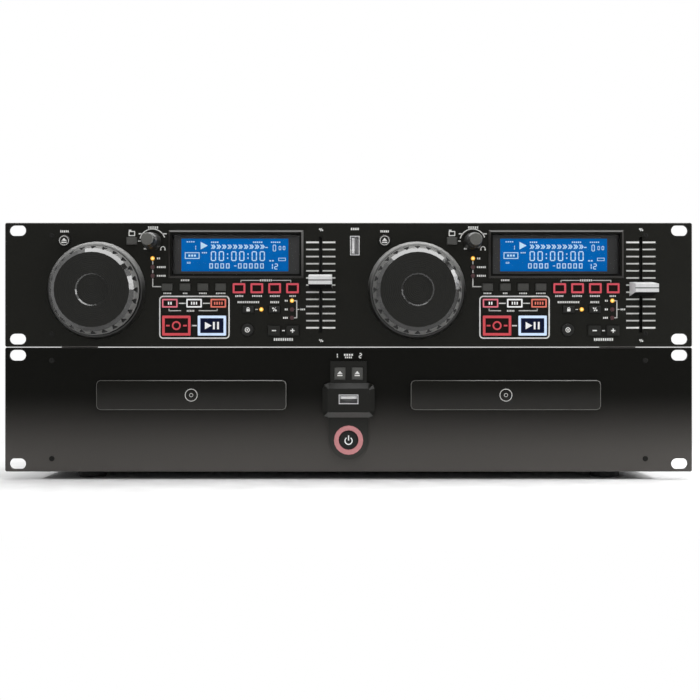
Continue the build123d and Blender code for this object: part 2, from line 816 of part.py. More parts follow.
with BuildPart() as player_control_bezel:
    with BuildSketch(front(0)):
        with BuildLine():
            Polyline((-round_end_r, power_level), (-round_end_r, boss_level),
                     (round_end_r, boss_level), (round_end_r, power_level))
            ThreePointArc((round_end_r, power_level),
                          (0, power_level - round_end_r),
                          (-round_end_r, power_level))
        make_face()
        with Locations((0, boss_level)):
            Rectangle(neck_width, neck_top * spread + player_z - boss_level,
                      align=(Align.CENTER, Align.MIN))
    extrude(amount=bezel_plate)
    with BuildSketch(front(0)):
        with Locations((0, boss_level)):
            Polygon(*rounded(boss_width, boss_height, boss_corner), align=None)
    extrude(amount=boss_reach)
    chamfer(player_control_bezel.faces().sort_by(Axis.Y)[0].edges(), boss_bevel, boss_bevel)
    with BuildSketch(front(boss_reach)):
        for x in (-tray_key_x, tray_key_x):
            with Locations((x, tray_key_level)):
                Rectangle(tray_key[0] + 2 * fit, tray_key[1] + 2 * fit)
        with Locations((0, player_usb_level)):
            Rectangle(usb_width + 2 * seat_fit, usb_height + 2 * seat_fit)
        with Locations((0, power_level)):
            RegularPolygon(ring_r + seat_fit, round_sides)
    extrude(amount=-boss_reach, mode=Mode.SUBTRACT)
with BuildPart() as light_ring:
    add(stack(0, power_level, round_sides, (ring_r, -panel_thickness),
              (ring_r, ring_reach - key_edge), (ring_r - key_edge, ring_reach)))
    with BuildSketch(front(-panel_thickness)):
        with Locations((0, power_level)):
            RegularPolygon(ring_inner_r, round_sides)
    extrude(amount=panel_thickness + ring_reach, mode=Mode.SUBTRACT)
save_group([player_control_bezel.part, light_ring.part], "player_control_bezel")

for side, x in (("left", -tray_key_x), ("right", tray_key_x)):
    save(square_key(x, tray_key_level, tray_key, tray_key_reach), f"{side}_tray_button")
save(round_key(0, power_level, power_r, power_reach), "power_button")

# ---- USB sockets: a metal shell with a tongue --------------------------------------------------


def usb_socket(plane, usb_depth):
    """A socket from its mouth in this plane to its board, with the tongue in its upper half."""
    with BuildPart() as shell:
        with BuildSketch(plane):
            Rectangle(usb_width, usb_height)
        extrude(amount=-usb_depth)
        with BuildSketch(plane):
            Rectangle(usb_width - 2 * usb_wall, usb_height - 2 * usb_wall)
        extrude(amount=usb_back - usb_depth, mode=Mode.SUBTRACT)
    with BuildPart() as tongue:
        with BuildSketch(plane.offset(usb_back - usb_depth)):
            with Locations((0, usb_tongue_offset)):
                Rectangle(usb_tongue_width, usb_tongue_height)
        extrude(amount=usb_depth - usb_back - usb_tongue_short)
    return [shell.part, tongue.part]


upright_mouth = Plane(origin=(usb_x, depth(-controller_usb_reach), usb_level),
                      x_dir=(0, 0, 1), z_dir=(0, -1, 0))
flat_mouth = Plane(origin=(0, depth(-boss_reach), player_usb_level),
                   x_dir=(1, 0, 0), z_dir=(0, -1, 0))

# ---- Player chassis and top cover --------------------------------------------------------------

socket_z = chassis_floor + socket_height
rca_block_top = socket_z + rca_pitch_z / 2 + rca_r + rca_block_rise
rca_places = [(x, socket_z + z) for x in row(rca_x, rca_pitch_x, rca_columns)
              for z in (-rca_pitch_z / 2, rca_pitch_z / 2)]
chassis_height = chassis_top - chassis_bottom

with BuildPart() as player_chassis:
    with BuildSketch(level(chassis_bottom)):
        with Locations((0, chassis_y)):
            Rectangle(body_width, chassis_depth)
    extrude(amount=chassis_height)
    with BuildSketch(level(chassis_floor)):
        with Locations((0, chassis_y)):
            Rectangle(body_width - 2 * sheet, chassis_depth - 2 * sheet)
    extrude(amount=chassis_height, mode=Mode.SUBTRACT)
    with BuildSketch(front(-panel_thickness)):
        with Locations((0, (chassis_bottom + chassis_top) / 2)):
            Rectangle(body_width - 2 * chassis_rim, chassis_height - 2 * chassis_rim)
    extrude(amount=-sheet, mode=Mode.SUBTRACT)
    with BuildSketch(front(chassis_rear)):
        with Locations(*rca_places):
            RegularPolygon(rca_r + seat_fit, small_sides)
        with Locations(*[(x, socket_z) for x in din_places]):
            RegularPolygon(din_r + seat_fit, key_sides)
        with Locations((inlet_x, socket_z)):
            Rectangle(inlet_width + 2 * seat_fit, inlet_height + 2 * seat_fit)
    extrude(amount=sheet, mode=Mode.SUBTRACT)
save(player_chassis.part, "player_chassis")

with BuildPart() as player_top_cover:
    with BuildSketch(Plane.XZ.offset(-depth(panel_thickness))):
        with Locations((0, cover_top)):
            Rectangle(body_width + 2 * sheet, cover_rim, align=(Align.CENTER, Align.MAX))
        with Locations((0, chassis_top)):
            Rectangle(body_width, cover_rim, align=(Align.CENTER, Align.MAX), mode=Mode.SUBTRACT)
    extrude(amount=-chassis_depth)
    with BuildSketch(level(cover_top)):
        for x in (-vent_x, vent_x):
            with Locations((x, depth(-chassis_rear - vent_rear))):
                with GridLocations(vent_pitch, 1, vent_count, 1):
                    Rectangle(vent_width, vent_length)
    extrude(amount=-sheet, mode=Mode.SUBTRACT)
save(player_top_cover.part, "player_top_cover")

# ---- Feet under the player, pads under the controller ------------------------------------------

foot_y = (depth(foot_front), depth(-chassis_rear - foot_rear))
pad_y = (depth(pad_front), depth(pad_rear))
with BuildPart() as rubber_feet:
    with BuildSketch(level(0)):
        with Locations(*[(x, y) for x in (-foot_x, foot_x) for y in foot_y]):
            RegularPolygon(foot_r, key_sides)
    extrude(amount=foot_height)
    chamfer(rubber_feet.faces().group_by(Axis.Z)[0].edges(), foot_edge)
    with BuildSketch(level(cover_top)):
        with Locations(*[(x, y) for x in (-pad_x, pad_x) for y in pad_y]):
            RegularPolygon(pad_r, small_sides)
    extrude(amount=case_bottom - cover_top)
save(rubber_feet.part, "rubber_feet")

# ---- Disc trays: fascia, tray with disc recesses, and the rack under it ------------------------

tooth_pitch = pi * gear_module
addendum = gear_module
dedendum = 1.25 * gear_module
half_tooth = (tooth_pitch / 2 - gear_backlash) / 2
root_half = half_tooth + dedendum * tan(pressure_angle)
tip_half = half_tooth - addendum * tan(pressure_angle)
tooth = [(-dedendum, root_half), (-dedendum, -root_half),
         (addendum, -tip_half), (addendum, tip_half)]
rack_teeth = int(rack_length / tooth_pitch)
rack_bottom = tray_bottom - gear_height

for side, x in drive_x.items():
    with BuildPart() as fascia:
        with BuildSketch(front(fascia_gap)):
            with Locations((x, fascia_level)):
                Polygon(*rounded(fascia_width, fascia_height, fascia_corner), align=None)
        extrude(amount=fascia_thickness)
        chamfer(fascia.faces().sort_by(Axis.Y)[0].edges(), fascia_edge)
    with BuildPart() as tray:
        with BuildSketch(level(tray_bottom)):
            with Locations((x, depth(-fascia_gap))):
                Rectangle(tray_width, tray_depth, align=(Align.CENTER, Align.MIN))
        extrude(amount=tray_thickness)
        with BuildSketch(level(tray_top)):
            with Locations((x, depth(disc_depth))):
                RegularPolygon(disc_r, jog_sides)
        extrude(amount=-disc_recess, mode=Mode.SUBTRACT)
        with BuildSketch(level(tray_top - disc_recess)):
            with Locations((x, depth(disc_depth))):
                RegularPolygon(small_disc_r, round_sides)
        extrude(amount=-small_disc_recess, mode=Mode.SUBTRACT)
        with BuildSketch(level(tray_bottom)):
            with Locations((x, depth(disc_depth))):
                RegularPolygon(pickup_width / 2, round_sides)
                Rectangle(pickup_width, tray_depth - fascia_gap - disc_depth - pickup_end,
                          align=(Align.CENTER, Align.MIN))
        extrude(amount=tray_thickness, mode=Mode.SUBTRACT)
        with BuildSketch(level(tray_bottom)):
            with Locations((x + rack_x - dedendum - rack_back / 2, depth(rack_front))):
                Rectangle(rack_back, rack_length, align=(Align.CENTER, Align.MIN))
            for step in range(rack_teeth):
                tooth_y = depth(rack_front) + (step + 0.5) * tooth_pitch
                with Locations((x + rack_x, tooth_y)):
                    Polygon(*tooth, align=None)
        extrude(amount=-gear_height)
    save_group([fascia.part, tray.part], f"{side}_disc_tray")

# ---- Tray gears, in mesh with the racks --------------------------------------------------------

gear_pitch_r = gear_module * gear_teeth / 2
gear_y = depth(gear_depth)
gear_phase = degrees((rack_front - gear_depth) % tooth_pitch / gear_pitch_r)
gear_x = {side: x + rack_x + gear_pitch_r for side, x in drive_x.items()}
for side, x in gear_x.items():
    with BuildPart() as tray_gear:
        with BuildSketch(level(rack_bottom)):
            with Locations((x, gear_y)):
                RegularPolygon(gear_pitch_r - dedendum + gear_root_overlap, gear_teeth,
                               rotation=180 - gear_phase)
                with PolarLocations(gear_pitch_r, gear_teeth, start_angle=180 - gear_phase):
                    Polygon(*tooth, align=None)
                RegularPolygon(gear_pin_r + bearing_fit, small_sides, major_radius=False,
                               mode=Mode.SUBTRACT)
        extrude(amount=gear_height - gear_gap)
    save(tray_gear.part, f"{side}_tray_gear")

# ---- Disc drives: frame with tray guides, motor with turntable, pickup, clamp bridge, posts ----

drives = []
drive_outer_width = 2 * (drive_inner + drive_wall)
drive_length = drive_rear - drive_front
drive_floor_top = drive_base + drive_floor
wall_x = drive_inner + drive_wall / 2
guide_x = drive_inner - guide_width / 2
post_places_y = (depth(post_front), depth(post_rear))
for side, x in drive_x.items():
    spindle_y = depth(disc_depth)
    with BuildPart() as drive_frame:
        with BuildSketch(front(-drive_front)):
            with Locations((x, drive_base)):
                Rectangle(drive_outer_width, drive_floor, align=(Align.CENTER, Align.MIN))
            with Locations((x - wall_x, drive_base), (x + wall_x, drive_base)):
                Rectangle(drive_wall, drive_top - drive_base, align=(Align.CENTER, Align.MIN))
            with Locations((x - guide_x, tray_top + guide_gap), (x + guide_x, tray_top + guide_gap)):
                Rectangle(guide_width, guide_thickness, align=(Align.CENTER, Align.MIN))
            with Locations((x - guide_x, tray_bottom - guide_gap),
                           (x + guide_x, tray_bottom - guide_gap)):
                Rectangle(guide_width, guide_thickness, align=(Align.CENTER, Align.MAX))
        extrude(amount=-drive_length)
        with BuildSketch(front(-drive_rear)):
            with Locations((x, drive_base)):
                Rectangle(drive_outer_width, drive_top - drive_base, align=(Align.CENTER, Align.MIN))
        extrude(amount=drive_wall)
        with BuildSketch(level(drive_floor_top)):
            with Locations((gear_x[side], gear_y)):
                RegularPolygon(gear_boss_r, small_sides)
        extrude(amount=rack_bottom - gear_gap - drive_floor_top)
        with BuildSketch(level(drive_floor_top)):
            with Locations((gear_x[side], gear_y)):
                RegularPolygon(gear_pin_r, small_sides)
        extrude(amount=tray_bottom - gear_gap - drive_floor_top)
        with BuildSketch(level(drive_base)):
            with Locations((x, spindle_y)):
                RegularPolygon(spindle_hole_r, small_sides)
        extrude(amount=drive_floor, mode=Mode.SUBTRACT)
    drives.append(drive_frame.part)
    with BuildPart() as spindle_motor:
        with BuildSketch(level(drive_base - motor_height)):
            with Locations((x, spindle_y)):
                RegularPolygon(motor_r, small_sides)
        extrude(amount=motor_height)
        with BuildSketch(level(drive_base)):
            with Locations((x, spindle_y)):
                RegularPolygon(spindle_r, small_sides)
        extrude(amount=tray_bottom - turntable_gap - drive_base)
        with BuildSketch(level(tray_bottom - turntable_gap)):
            with Locations((x, spindle_y)):
                RegularPolygon(turntable_r, key_sides)
        extrude(amount=-turntable_height)
    drives.append(spindle_motor.part)
    with BuildPart() as pickup:
        with BuildSketch(level(drive_floor_top)):
            with Locations((x, spindle_y + turntable_r + pickup_length)):
                Rectangle(pickup_width - pickup_end, pickup_length)
        extrude(amount=pickup_height)
        with BuildSketch(level(drive_floor_top + pickup_height)):
            with Locations((x, spindle_y + turntable_r + pickup_length)):
                RegularPolygon(lens_r, small_sides)
        extrude(amount=lens_height)
    drives.append(pickup.part)
    with BuildPart() as clamp_bridge:
        with BuildSketch(level(drive_top)):
            with Locations((x, spindle_y)):
                Rectangle(drive_outer_width, bridge_length)
        extrude(amount=bridge_thickness)
        with BuildSketch(level(drive_top)):
            with Locations((x, spindle_y)):
                RegularPolygon(clamp_r, key_sides)
        extrude(amount=tray_top + clamp_gap - drive_top)
    drives.append(clamp_bridge.part)
    with BuildPart() as posts:
        with BuildSketch(level(chassis_floor)):
            with Locations(*[(x + step * post_x, y) for step in (-1, 1) for y in post_places_y]):
                Rectangle(post_width, post_width)
        extrude(amount=drive_base - chassis_floor)
    drives.append(posts.part)
save_group(drives, "disc_drives")

# ---- Player boards, power supply and rear sockets ----------------------------------------------

board_bottom = chassis_floor + board_rise
board_top = board_bottom + board_thickness
rear_wall = chassis_rear + sheet
key_board_height = panel_height - 2 * key_board_margin


def raised_board(y, width, length, post_x, post_y):
    """A board on four posts from the chassis floor, centred at this Y."""
    with BuildPart() as board:
        with BuildSketch(level(board_bottom)):
            with Locations((0, y)):
                Rectangle(width, length)
        extrude(amount=board_thickness)
        with BuildSketch(level(chassis_floor)):
            with Locations((0, y)):
                with GridLocations(2 * post_x, 2 * post_y, 2, 2):
                    Rectangle(standoff_width, standoff_width)
        extrude(amount=board_rise)
    return board.part


rear_board_y = depth(-rear_wall - rear_board_gap - rear_board_length / 2)
works = [raised_board(rear_board_y, rear_board_width, rear_board_length,
                      rear_board_post_x, rear_board_post_y),
         raised_board(depth(supply_depth), supply_width, supply_length,
                      supply_post_x, supply_post_y)]
with BuildPart() as transformer:
    with BuildSketch(level(board_top)):
        with Locations((0, depth(transformer_depth))):
            Rectangle(transformer_width, transformer_length)
    extrude(amount=transformer_height)
    chamfer(transformer.edges().filter_by(Axis.Z), key_edge)
works.append(transformer.part)
with BuildPart() as capacitors:
    with BuildSketch(level(board_top)):
        with Locations(*[(x, depth(capacitor_depth)) for x in row(0, capacitor_pitch, 2)]):
            RegularPolygon(capacitor_r, key_sides)
    extrude(amount=capacitor_height)
works.append(capacitors.part)
with BuildPart() as line_sockets:
    with BuildSketch(front(rear_wall)):
        for x in row(rca_x, rca_pitch_x, rca_columns):
            with Locations((x, board_top)):
                Rectangle(rca_block_width, rca_block_top - board_top, align=(Align.CENTER, Align.MIN))
    extrude(amount=rca_block_depth)
    with BuildSketch(front(rear_wall)):
        with Locations(*rca_places):
            RegularPolygon(rca_r, small_sides)
    extrude(amount=-sheet - rca_reach)
    with BuildSketch(front(chassis_rear - rca_reach)):
        with Locations(*rca_places):
            RegularPolygon(rca_hole_r, small_sides)
    extrude(amount=rca_hole_depth, mode=Mode.SUBTRACT)
works.append(line_sockets.part)
for x in din_places:
    works.append(round_socket(x, socket_z, chassis_rear))
with BuildPart() as key_board:
    with BuildSketch(front(-board_gap)):
        with Locations((0, player_z)):
            Rectangle(key_board_width, key_board_height)
    extrude(amount=-board_thickness)
    with BuildSketch(front(-board_gap)):
        with Locations((-tray_key_x, tray_key_level), (tray_key_x, tray_key_level),
                       (0, power_level)):
            Rectangle(switch_width, switch_width)
    extrude(amount=switch_height)
    with BuildSketch(front(-board_gap)):
        with Locations((0, player_z)):
            with GridLocations(2 * key_board_post_x, key_board_height - 2 * key_board_post_margin, 2, 2):
                Rectangle(standoff_width, standoff_width)
    extrude(amount=board_gap - panel_thickness)
works.append(key_board.part)
save_group(works, "player_board")

# ---- Sockets -----------------------------------------------------------------------------------

with BuildPart() as mains_inlet:
    with BuildSketch(front(chassis_rear)):
        with Locations((inlet_x, socket_z)):
            Rectangle(inlet_width + 2 * inlet_flange, inlet_height + 2 * inlet_flange)
    extrude(amount=-inlet_reach)
    with BuildSketch(front(chassis_rear)):
        with Locations((inlet_x, socket_z)):
            Rectangle(inlet_width, inlet_height)
    extrude(amount=inlet_depth)
    with BuildSketch(front(chassis_rear - inlet_reach)):
        with Locations((inlet_x, socket_z)):
            Rectangle(inlet_inner_width, inlet_inner_height)
    extrude(amount=inlet_reach + inlet_depth - inlet_floor, mode=Mode.SUBTRACT)
with BuildPart() as inlet_pins:
    with BuildSketch(front(chassis_rear + inlet_depth - inlet_floor)):
        with Locations((inlet_x - inlet_pin_pitch / 2, socket_z + inlet_pin_z),
                       (inlet_x + inlet_pin_pitch / 2, socket_z + inlet_pin_z),
                       (inlet_x, socket_z + inlet_earth_z)):
            Rectangle(inlet_pin_width, inlet_pin_height)
    extrude(amount=-inlet_pin_length)
sockets = usb_socket(upright_mouth, controller_usb_reach + board_gap)
sockets += usb_socket(flat_mouth, boss_reach + board_gap)
sockets += [mains_inlet.part, inlet_pins.part]
save_group(sockets, "usb_and_power_sockets")
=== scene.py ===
"""Looks, light and camera for the dual CD player for DJs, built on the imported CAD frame.

Metres, X to the right seen from the front, Y to the back, Z up, as in the frame. Places on a
panel are millimetres from a middle, to the right and up, as a front view shows them.
"""

from math import atan, cos, pi, radians, sin

import bmesh
import bpy
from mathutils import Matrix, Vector


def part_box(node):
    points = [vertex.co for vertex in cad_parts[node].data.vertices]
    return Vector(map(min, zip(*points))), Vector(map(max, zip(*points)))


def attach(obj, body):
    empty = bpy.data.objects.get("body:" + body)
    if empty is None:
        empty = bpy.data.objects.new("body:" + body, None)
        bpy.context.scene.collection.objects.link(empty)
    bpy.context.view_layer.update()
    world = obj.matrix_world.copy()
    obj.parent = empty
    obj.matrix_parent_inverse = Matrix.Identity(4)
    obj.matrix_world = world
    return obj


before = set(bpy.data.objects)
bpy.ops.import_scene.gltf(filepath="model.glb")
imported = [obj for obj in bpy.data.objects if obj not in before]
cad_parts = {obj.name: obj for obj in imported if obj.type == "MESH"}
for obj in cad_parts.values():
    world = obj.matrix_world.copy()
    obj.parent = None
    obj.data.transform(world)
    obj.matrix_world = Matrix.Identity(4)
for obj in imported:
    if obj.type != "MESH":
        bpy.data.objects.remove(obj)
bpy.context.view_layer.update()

MM = 0.001
PRINT = 0.06 * MM                                # thickness of a print over its surface

# ---- Places on the panels ----------------------------------------------------------------------

panel_low, panel_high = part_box("controller_front_panel")
lower_low, lower_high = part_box("player_front_panel")
face_y = panel_low[1]                            # front of both panels
controller_z = (panel_low[2] + panel_high[2]) / 2 / MM
player_z = (lower_low[2] + lower_high[2]) / 2 / MM
joint_z = (panel_low[2] + lower_high[2]) / 2     # between the two panels
sides = ("left", "right")


def middle(node):
    """The middle of a node seen from the front, in millimetres."""
    low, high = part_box(node)
    return (low[0] + high[0]) / 2 / MM, (low[2] + high[2]) / 2 / MM


def front(node):
    """How far a node's front stands before the panels, in metres."""
    return face_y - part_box(node)[0][1]


jog_x = -64.6                                    # from a deck's middle line
deck_x = {side: middle(f"{side}_jog_wheel")[0] - jog_x for side in sides}

# ---- Materials ---------------------------------------------------------------------------------


def shader_of(made):
    return made.node_tree.nodes["Principled BSDF"]


def material(name, colour, roughness, metallic=0.0, grain=0.2, grain_scale=900.0, specular=0.5):
    """A principled material whose fine grain shades its colour, roughness and bump."""
    made = bpy.data.materials.new(name)
    made.use_nodes = True
    nodes, links = made.node_tree.nodes, made.node_tree.links
    shader = shader_of(made)
    shader.inputs["Metallic"].default_value = metallic
    shader.inputs["Specular IOR Level"].default_value = specular
    place = nodes.new("ShaderNodeTexCoord")
    noise = nodes.new("ShaderNodeTexNoise")
    noise.inputs["Scale"].default_value = grain_scale
    noise.inputs["Detail"].default_value = 3.0
    links.new(place.outputs["Object"], noise.inputs["Vector"])
    shade = nodes.new("ShaderNodeValToRGB")
    shade.name = "shade"
    for stop, factor in zip(shade.color_ramp.elements, (0.85, 1.15)):
        stop.color = (*(min(1.0, part * factor) for part in colour), 1)
    links.new(noise.outputs["Fac"], shade.inputs["Fac"])
    links.new(shade.outputs["Color"], shader.inputs["Base Color"])
    dull = nodes.new("ShaderNodeMapRange")
    dull.inputs["To Min"].default_value = roughness * 0.85
    dull.inputs["To Max"].default_value = min(1.0, roughness * 1.15)
    links.new(noise.outputs["Fac"], dull.inputs["Value"])
    links.new(dull.outputs["Result"], shader.inputs["Roughness"])
    bump = nodes.new("ShaderNodeBump")
    bump.inputs["Strength"].default_value = grain
    bump.inputs["Distance"].default_value = 0.1 * MM
    links.new(noise.outputs["Fac"], bump.inputs["Height"])
    links.new(bump.outputs["Normal"], shader.inputs["Normal"])
    return made


def glowing(name, colour, strength, roughness=0.4):
    """A lit material; its glow varies softly over the surface."""
    made = material(name, [part * 0.5 for part in colour], roughness, specular=0.05)
    nodes, links = made.node_tree.nodes, made.node_tree.links
    shader = shader_of(made)
    place = nodes.new("ShaderNodeTexCoord")
    patches = nodes.new("ShaderNodeTexNoise")
    patches.inputs["Scale"].default_value = 180.0
    glow = nodes.new("ShaderNodeMapRange")
    glow.inputs["To Min"].default_value = strength * 0.8
    glow.inputs["To Max"].default_value = strength * 1.2
    links.new(place.outputs["Object"], patches.inputs["Vector"])
    links.new(patches.outputs["Fac"], glow.inputs["Value"])
    shader.inputs["Emission Color"].default_value = (*colour, 1)
    links.new(glow.outputs["Result"], shader.inputs["Emission Strength"])
    return made


def paint_light_gradient(made, colour, full, none):
    """Paints light or shade into a material: blends it towards a colour, full at one level and
    absent at another (metres).
    """
    nodes, links = made.node_tree.nodes, made.node_tree.links
    place = nodes.new("ShaderNodeTexCoord")
    axes = nodes.new("ShaderNodeSeparateXYZ")
    share = nodes.new("ShaderNodeMapRange")
    share.interpolation_type = "SMOOTHSTEP"
    share.inputs["From Min"].default_value = none
    share.inputs["From Max"].default_value = full
    mix = nodes.new("ShaderNodeMix")
    mix.data_type = "RGBA"
    base = shader_of(made).inputs["Base Color"]
    links.new(place.outputs["Object"], axes.inputs["Vector"])
    links.new(axes.outputs["Z"], share.inputs["Value"])
    links.new(share.outputs["Result"], mix.inputs[0])
    links.new(base.links[0].from_socket, mix.inputs[6])
    mix.inputs[7].default_value = (*colour, 1)
    links.new(mix.outputs[2], base)


def rings(made, x, z, pitch, depth):
    """Fine grooves round an axis that is square to the panels, through (x, z) in millimetres."""
    nodes, links = made.node_tree.nodes, made.node_tree.links
    place = nodes.new("ShaderNodeTexCoord")
    shift = nodes.new("ShaderNodeMapping")
    shift.inputs["Location"].default_value = (-x * MM, 0, -z * MM)
    wave = nodes.new("ShaderNodeTexWave")
    wave.wave_type = "RINGS"
    wave.rings_direction = "Y"
    wave.inputs["Scale"].default_value = 2 * pi / 20 / (pitch * MM)
    bump = nodes["Bump"]
    second = nodes.new("ShaderNodeBump")
    second.inputs["Strength"].default_value = 1.0
    second.inputs["Distance"].default_value = depth * MM
    links.new(place.outputs["Object"], shift.inputs["Vector"])
    links.new(shift.outputs["Vector"], wave.inputs["Vector"])
    links.new(wave.outputs["Fac"], second.inputs["Height"])
    links.new(bump.outputs["Normal"], second.inputs["Normal"])
    links.new(second.outputs["Normal"], shader_of(made).inputs["Normal"])


controller_black = material("controller_black", (0.0150, 0.0150, 0.0130), 0.5, specular=0.04)
# Painted highlight: the slanted edges of both panels are lighter than their faces.
panel_edge_highlight = material("panel_edge_highlight", (0.10, 0.095, 0.09), 0.4, specular=0.3)
player_black = material("player_black", (0.0060, 0.0060, 0.0050), 0.42, specular=0.04)
# Painted reflection: the player's panel turns lighter towards its bottom, standing in for the floor
# it reflects.
paint_light_gradient(player_black, (0.100, 0.094, 0.088), lower_low[2], joint_z - 30 * MM)
steel = material("case_steel", (0.022, 0.022, 0.023), 0.5, grain=0.6, grain_scale=1600.0)
bezel_black = material("bezel_black", (0.004, 0.004, 0.0035), 0.3, specular=0.05)
# Painted highlight on the display bezels' slanted faces.
bezel_bevel_highlight = material("bezel_bevel_highlight", (0.034, 0.032, 0.029), 0.3, specular=0.3)
jog_slope = material("jog_slope", (0.008, 0.008, 0.007), 0.2, specular=1.0)
# Painted reflection: the glossy shoulder of each jog wheel is light grey, standing in for the white
# it reflects.
jog_shoulder_painted_reflection = material("jog_shoulder_painted_reflection", (0.17, 0.17, 0.165), 0.3)
# Painted shade: the recessed faces of the dimples are darker and duller than the wheel.
jog_dimple_shade = material("jog_dimple_shade", (0.006, 0.006, 0.006), 0.35)
# Painted highlight: the fixed rings round the jog wheels turn lighter towards their tops.
jog_ring_painted_highlight = material("jog_ring_painted_highlight", (0.010, 0.010, 0.009), 0.3)
paint_light_gradient(jog_ring_painted_highlight, (0.46, 0.46, 0.45), (controller_z + 32) * MM, (controller_z - 6) * MM)
fascia_black = material("fascia_black", (0.008, 0.008, 0.0065), 0.35, specular=0.05)
# Painted reflection: the tray fascias turn lighter towards their bottoms.
paint_light_gradient(fascia_black, (0.032, 0.031, 0.029), joint_z - 45 * MM, joint_z - 24 * MM)
# Painted highlight on the chamfers round the tray fascias.
fascia_edge_highlight = material("fascia_edge_highlight", (0.13, 0.13, 0.12), 0.3)
module_black = material("module_black", (0.009, 0.009, 0.0075), 0.3, specular=0.15)
# Painted reflection: the raised housing on the player's panel turns lighter towards its bottom.
paint_light_gradient(module_black, (0.045, 0.045, 0.041), joint_z - 80 * MM, joint_z - 45 * MM)
# Painted reflection of the floor on the downward bevel of the raised housing.
module_bevel_reflection = material("module_bevel_reflection", (0.072, 0.072, 0.069), 0.25, specular=0.3)
grey_key = material("grey_key", (0.08, 0.08, 0.075), 0.55, specular=0.2)
menu_key = material("menu_key", (0.055, 0.055, 0.051), 0.55, specular=0.15)
bend_key = material("bend_key", (0.020, 0.020, 0.018), 0.55, specular=0.1)
dark_key = material("dark_key", (0.016, 0.016, 0.015), 0.45, specular=0.15)
knob_black = material("knob_black", (0.015, 0.015, 0.014), 0.35)
knob_grey = material("knob_grey", (0.085, 0.085, 0.078), 0.45)
silver = material("silver", (0.70, 0.70, 0.70), 0.4)
# Painted shade on the downward faces of the fader caps.
fader_painted_shade = material("fader_painted_shade", (0.010, 0.010, 0.010), 0.5, specular=0.0)
rubber = material("rubber", (0.016, 0.016, 0.016), 0.75)
board_green = material("board_green", (0.01, 0.06, 0.028), 0.5)
block_grey = material("block_grey", (0.05, 0.05, 0.05), 0.5)
drive_grey = material("drive_grey", (0.035, 0.035, 0.035), 0.5)
tray_black = material("tray_black", (0.016, 0.016, 0.016), 0.5, grain=0.5)
gear_white = material("gear_white", (0.62, 0.59, 0.5), 0.45)
plated = material("plated", (0.62, 0.62, 0.63), 0.22, metallic=1.0)
socket_black = material("socket_black", (0.01, 0.01, 0.01), 0.4)
tongue_white = material("tongue_white", (0.8, 0.8, 0.8), 0.4)
ink = material("ink", (0.80, 0.80, 0.78), 0.6)
faint_ink = material("faint_ink", (0.58, 0.58, 0.56), 0.6)
red_glow = glowing("red_glow", (0.72, 0.10, 0.13), 0.42)
pink_glow = glowing("pink_glow", (0.85, 0.21, 0.27), 0.42)
cue_glow = glowing("cue_glow", (0.76, 0.10, 0.12), 0.36)
white_glow = glowing("white_glow", (0.80, 0.80, 0.80), 0.62)
orange_glow = glowing("orange_glow", (0.85, 0.22, 0.16), 0.42)
blue_glow = glowing("blue_glow", (0.62, 0.76, 0.98), 0.62)
amber_glow = glowing("amber_glow", (1.0, 0.50, 0.06), 0.8)
amber_heart = glowing("amber_heart", (1.0, 0.75, 0.28), 1.0)
dark_red = material("dark_red", (0.055, 0.012, 0.014), 0.3)
key_heart = material("key_heart", (0.011, 0.006, 0.005), 0.35, specular=0.05)
navy_heart = material("navy_heart", (0.004, 0.007, 0.028), 0.35, specular=0.05)
ring_glow = glowing("ring_glow", (0.64, 0.28, 0.29), 0.42, roughness=0.25)
lcd_blue = glowing("lcd_blue", (0.0, 0.125, 0.45), 0.62)
lcd_white = glowing("lcd_white", (0.50, 0.72, 0.90), 0.65)

window = material("window", (0.01, 0.01, 0.01), 0.05, specular=0.05)
shader_of(window).inputs["Alpha"].default_value = 0.04

PLAIN = {
    "player_chassis": steel, "player_top_cover": steel, "controller_rear_case": steel,
    "disc_drives": drive_grey, "player_board": board_green, "rubber_feet": rubber,
    "controller_board": board_green, "display_windows": window, "indicator_lamps": dark_red,
    "menu_key_strips": menu_key, "player_control_bezel": module_black,
    "controller_front_panel": controller_black, "player_front_panel": player_black,
    "panel_bezels": bezel_black, "usb_and_power_sockets": plated, "power_button": dark_key,
}


SMOOTH_ANGLE = radians(32)                       # sharper edges stay edges


def finish_of(name):
    """The main material of a moving node, by the end of its name."""
    for ending, made in (("jog_wheel", jog_slope), ("track_knob", knob_black),
                         ("pitch_fader", silver), ("disc_tray", tray_black),
                         ("tray_gear", gear_white), ("folder_button", grey_key),
                         ("tray_button", grey_key), ("pitch_bend_down_button", bend_key),
                         ("pitch_bend_up_button", bend_key)):
        if name.endswith(ending):
            return made
    return dark_key


for name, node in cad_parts.items():
    node.data.materials.clear()
    node.data.materials.append(PLAIN.get(name) or finish_of(name))
    node.data.shade_smooth()
    node.data.set_sharp_from_angle(angle=SMOOTH_ANGLE)


def repaint(name, made, wanted):
    """Gives one material to the faces that the test picks by their middle (mm) and normal."""
    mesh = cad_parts[name].data
    if made.name not in mesh.materials:
        mesh.materials.append(made)
    slot = mesh.materials.find(made.name)
    for face in mesh.polygons:
        if wanted(face.center / MM, face.normal):
            face.material_index = slot


def from_middle(centre, x, z):
    """How far a face's middle lies from an axis square to the panels, in millimetres."""
    return ((centre.x - x) ** 2 + (centre.z - z) ** 2) ** 0.5


def slanted(normal):
    """Whether a face looks to the front at a slant."""
    return -0.95 < normal.y < -0.2


face_mm = face_y / MM
GROOVE_PITCH, GROOVE_DEPTH = 1.25, 0.09
RING_REACH = 36                                  # takes in a whole jog ring
pad_depth, dimple_depth, shoulder_depth = 1.2, 9.0, 9.2    # behind a jog wheel's top
fascia_thickness, fascia_chamfer = 2.1, 0.5


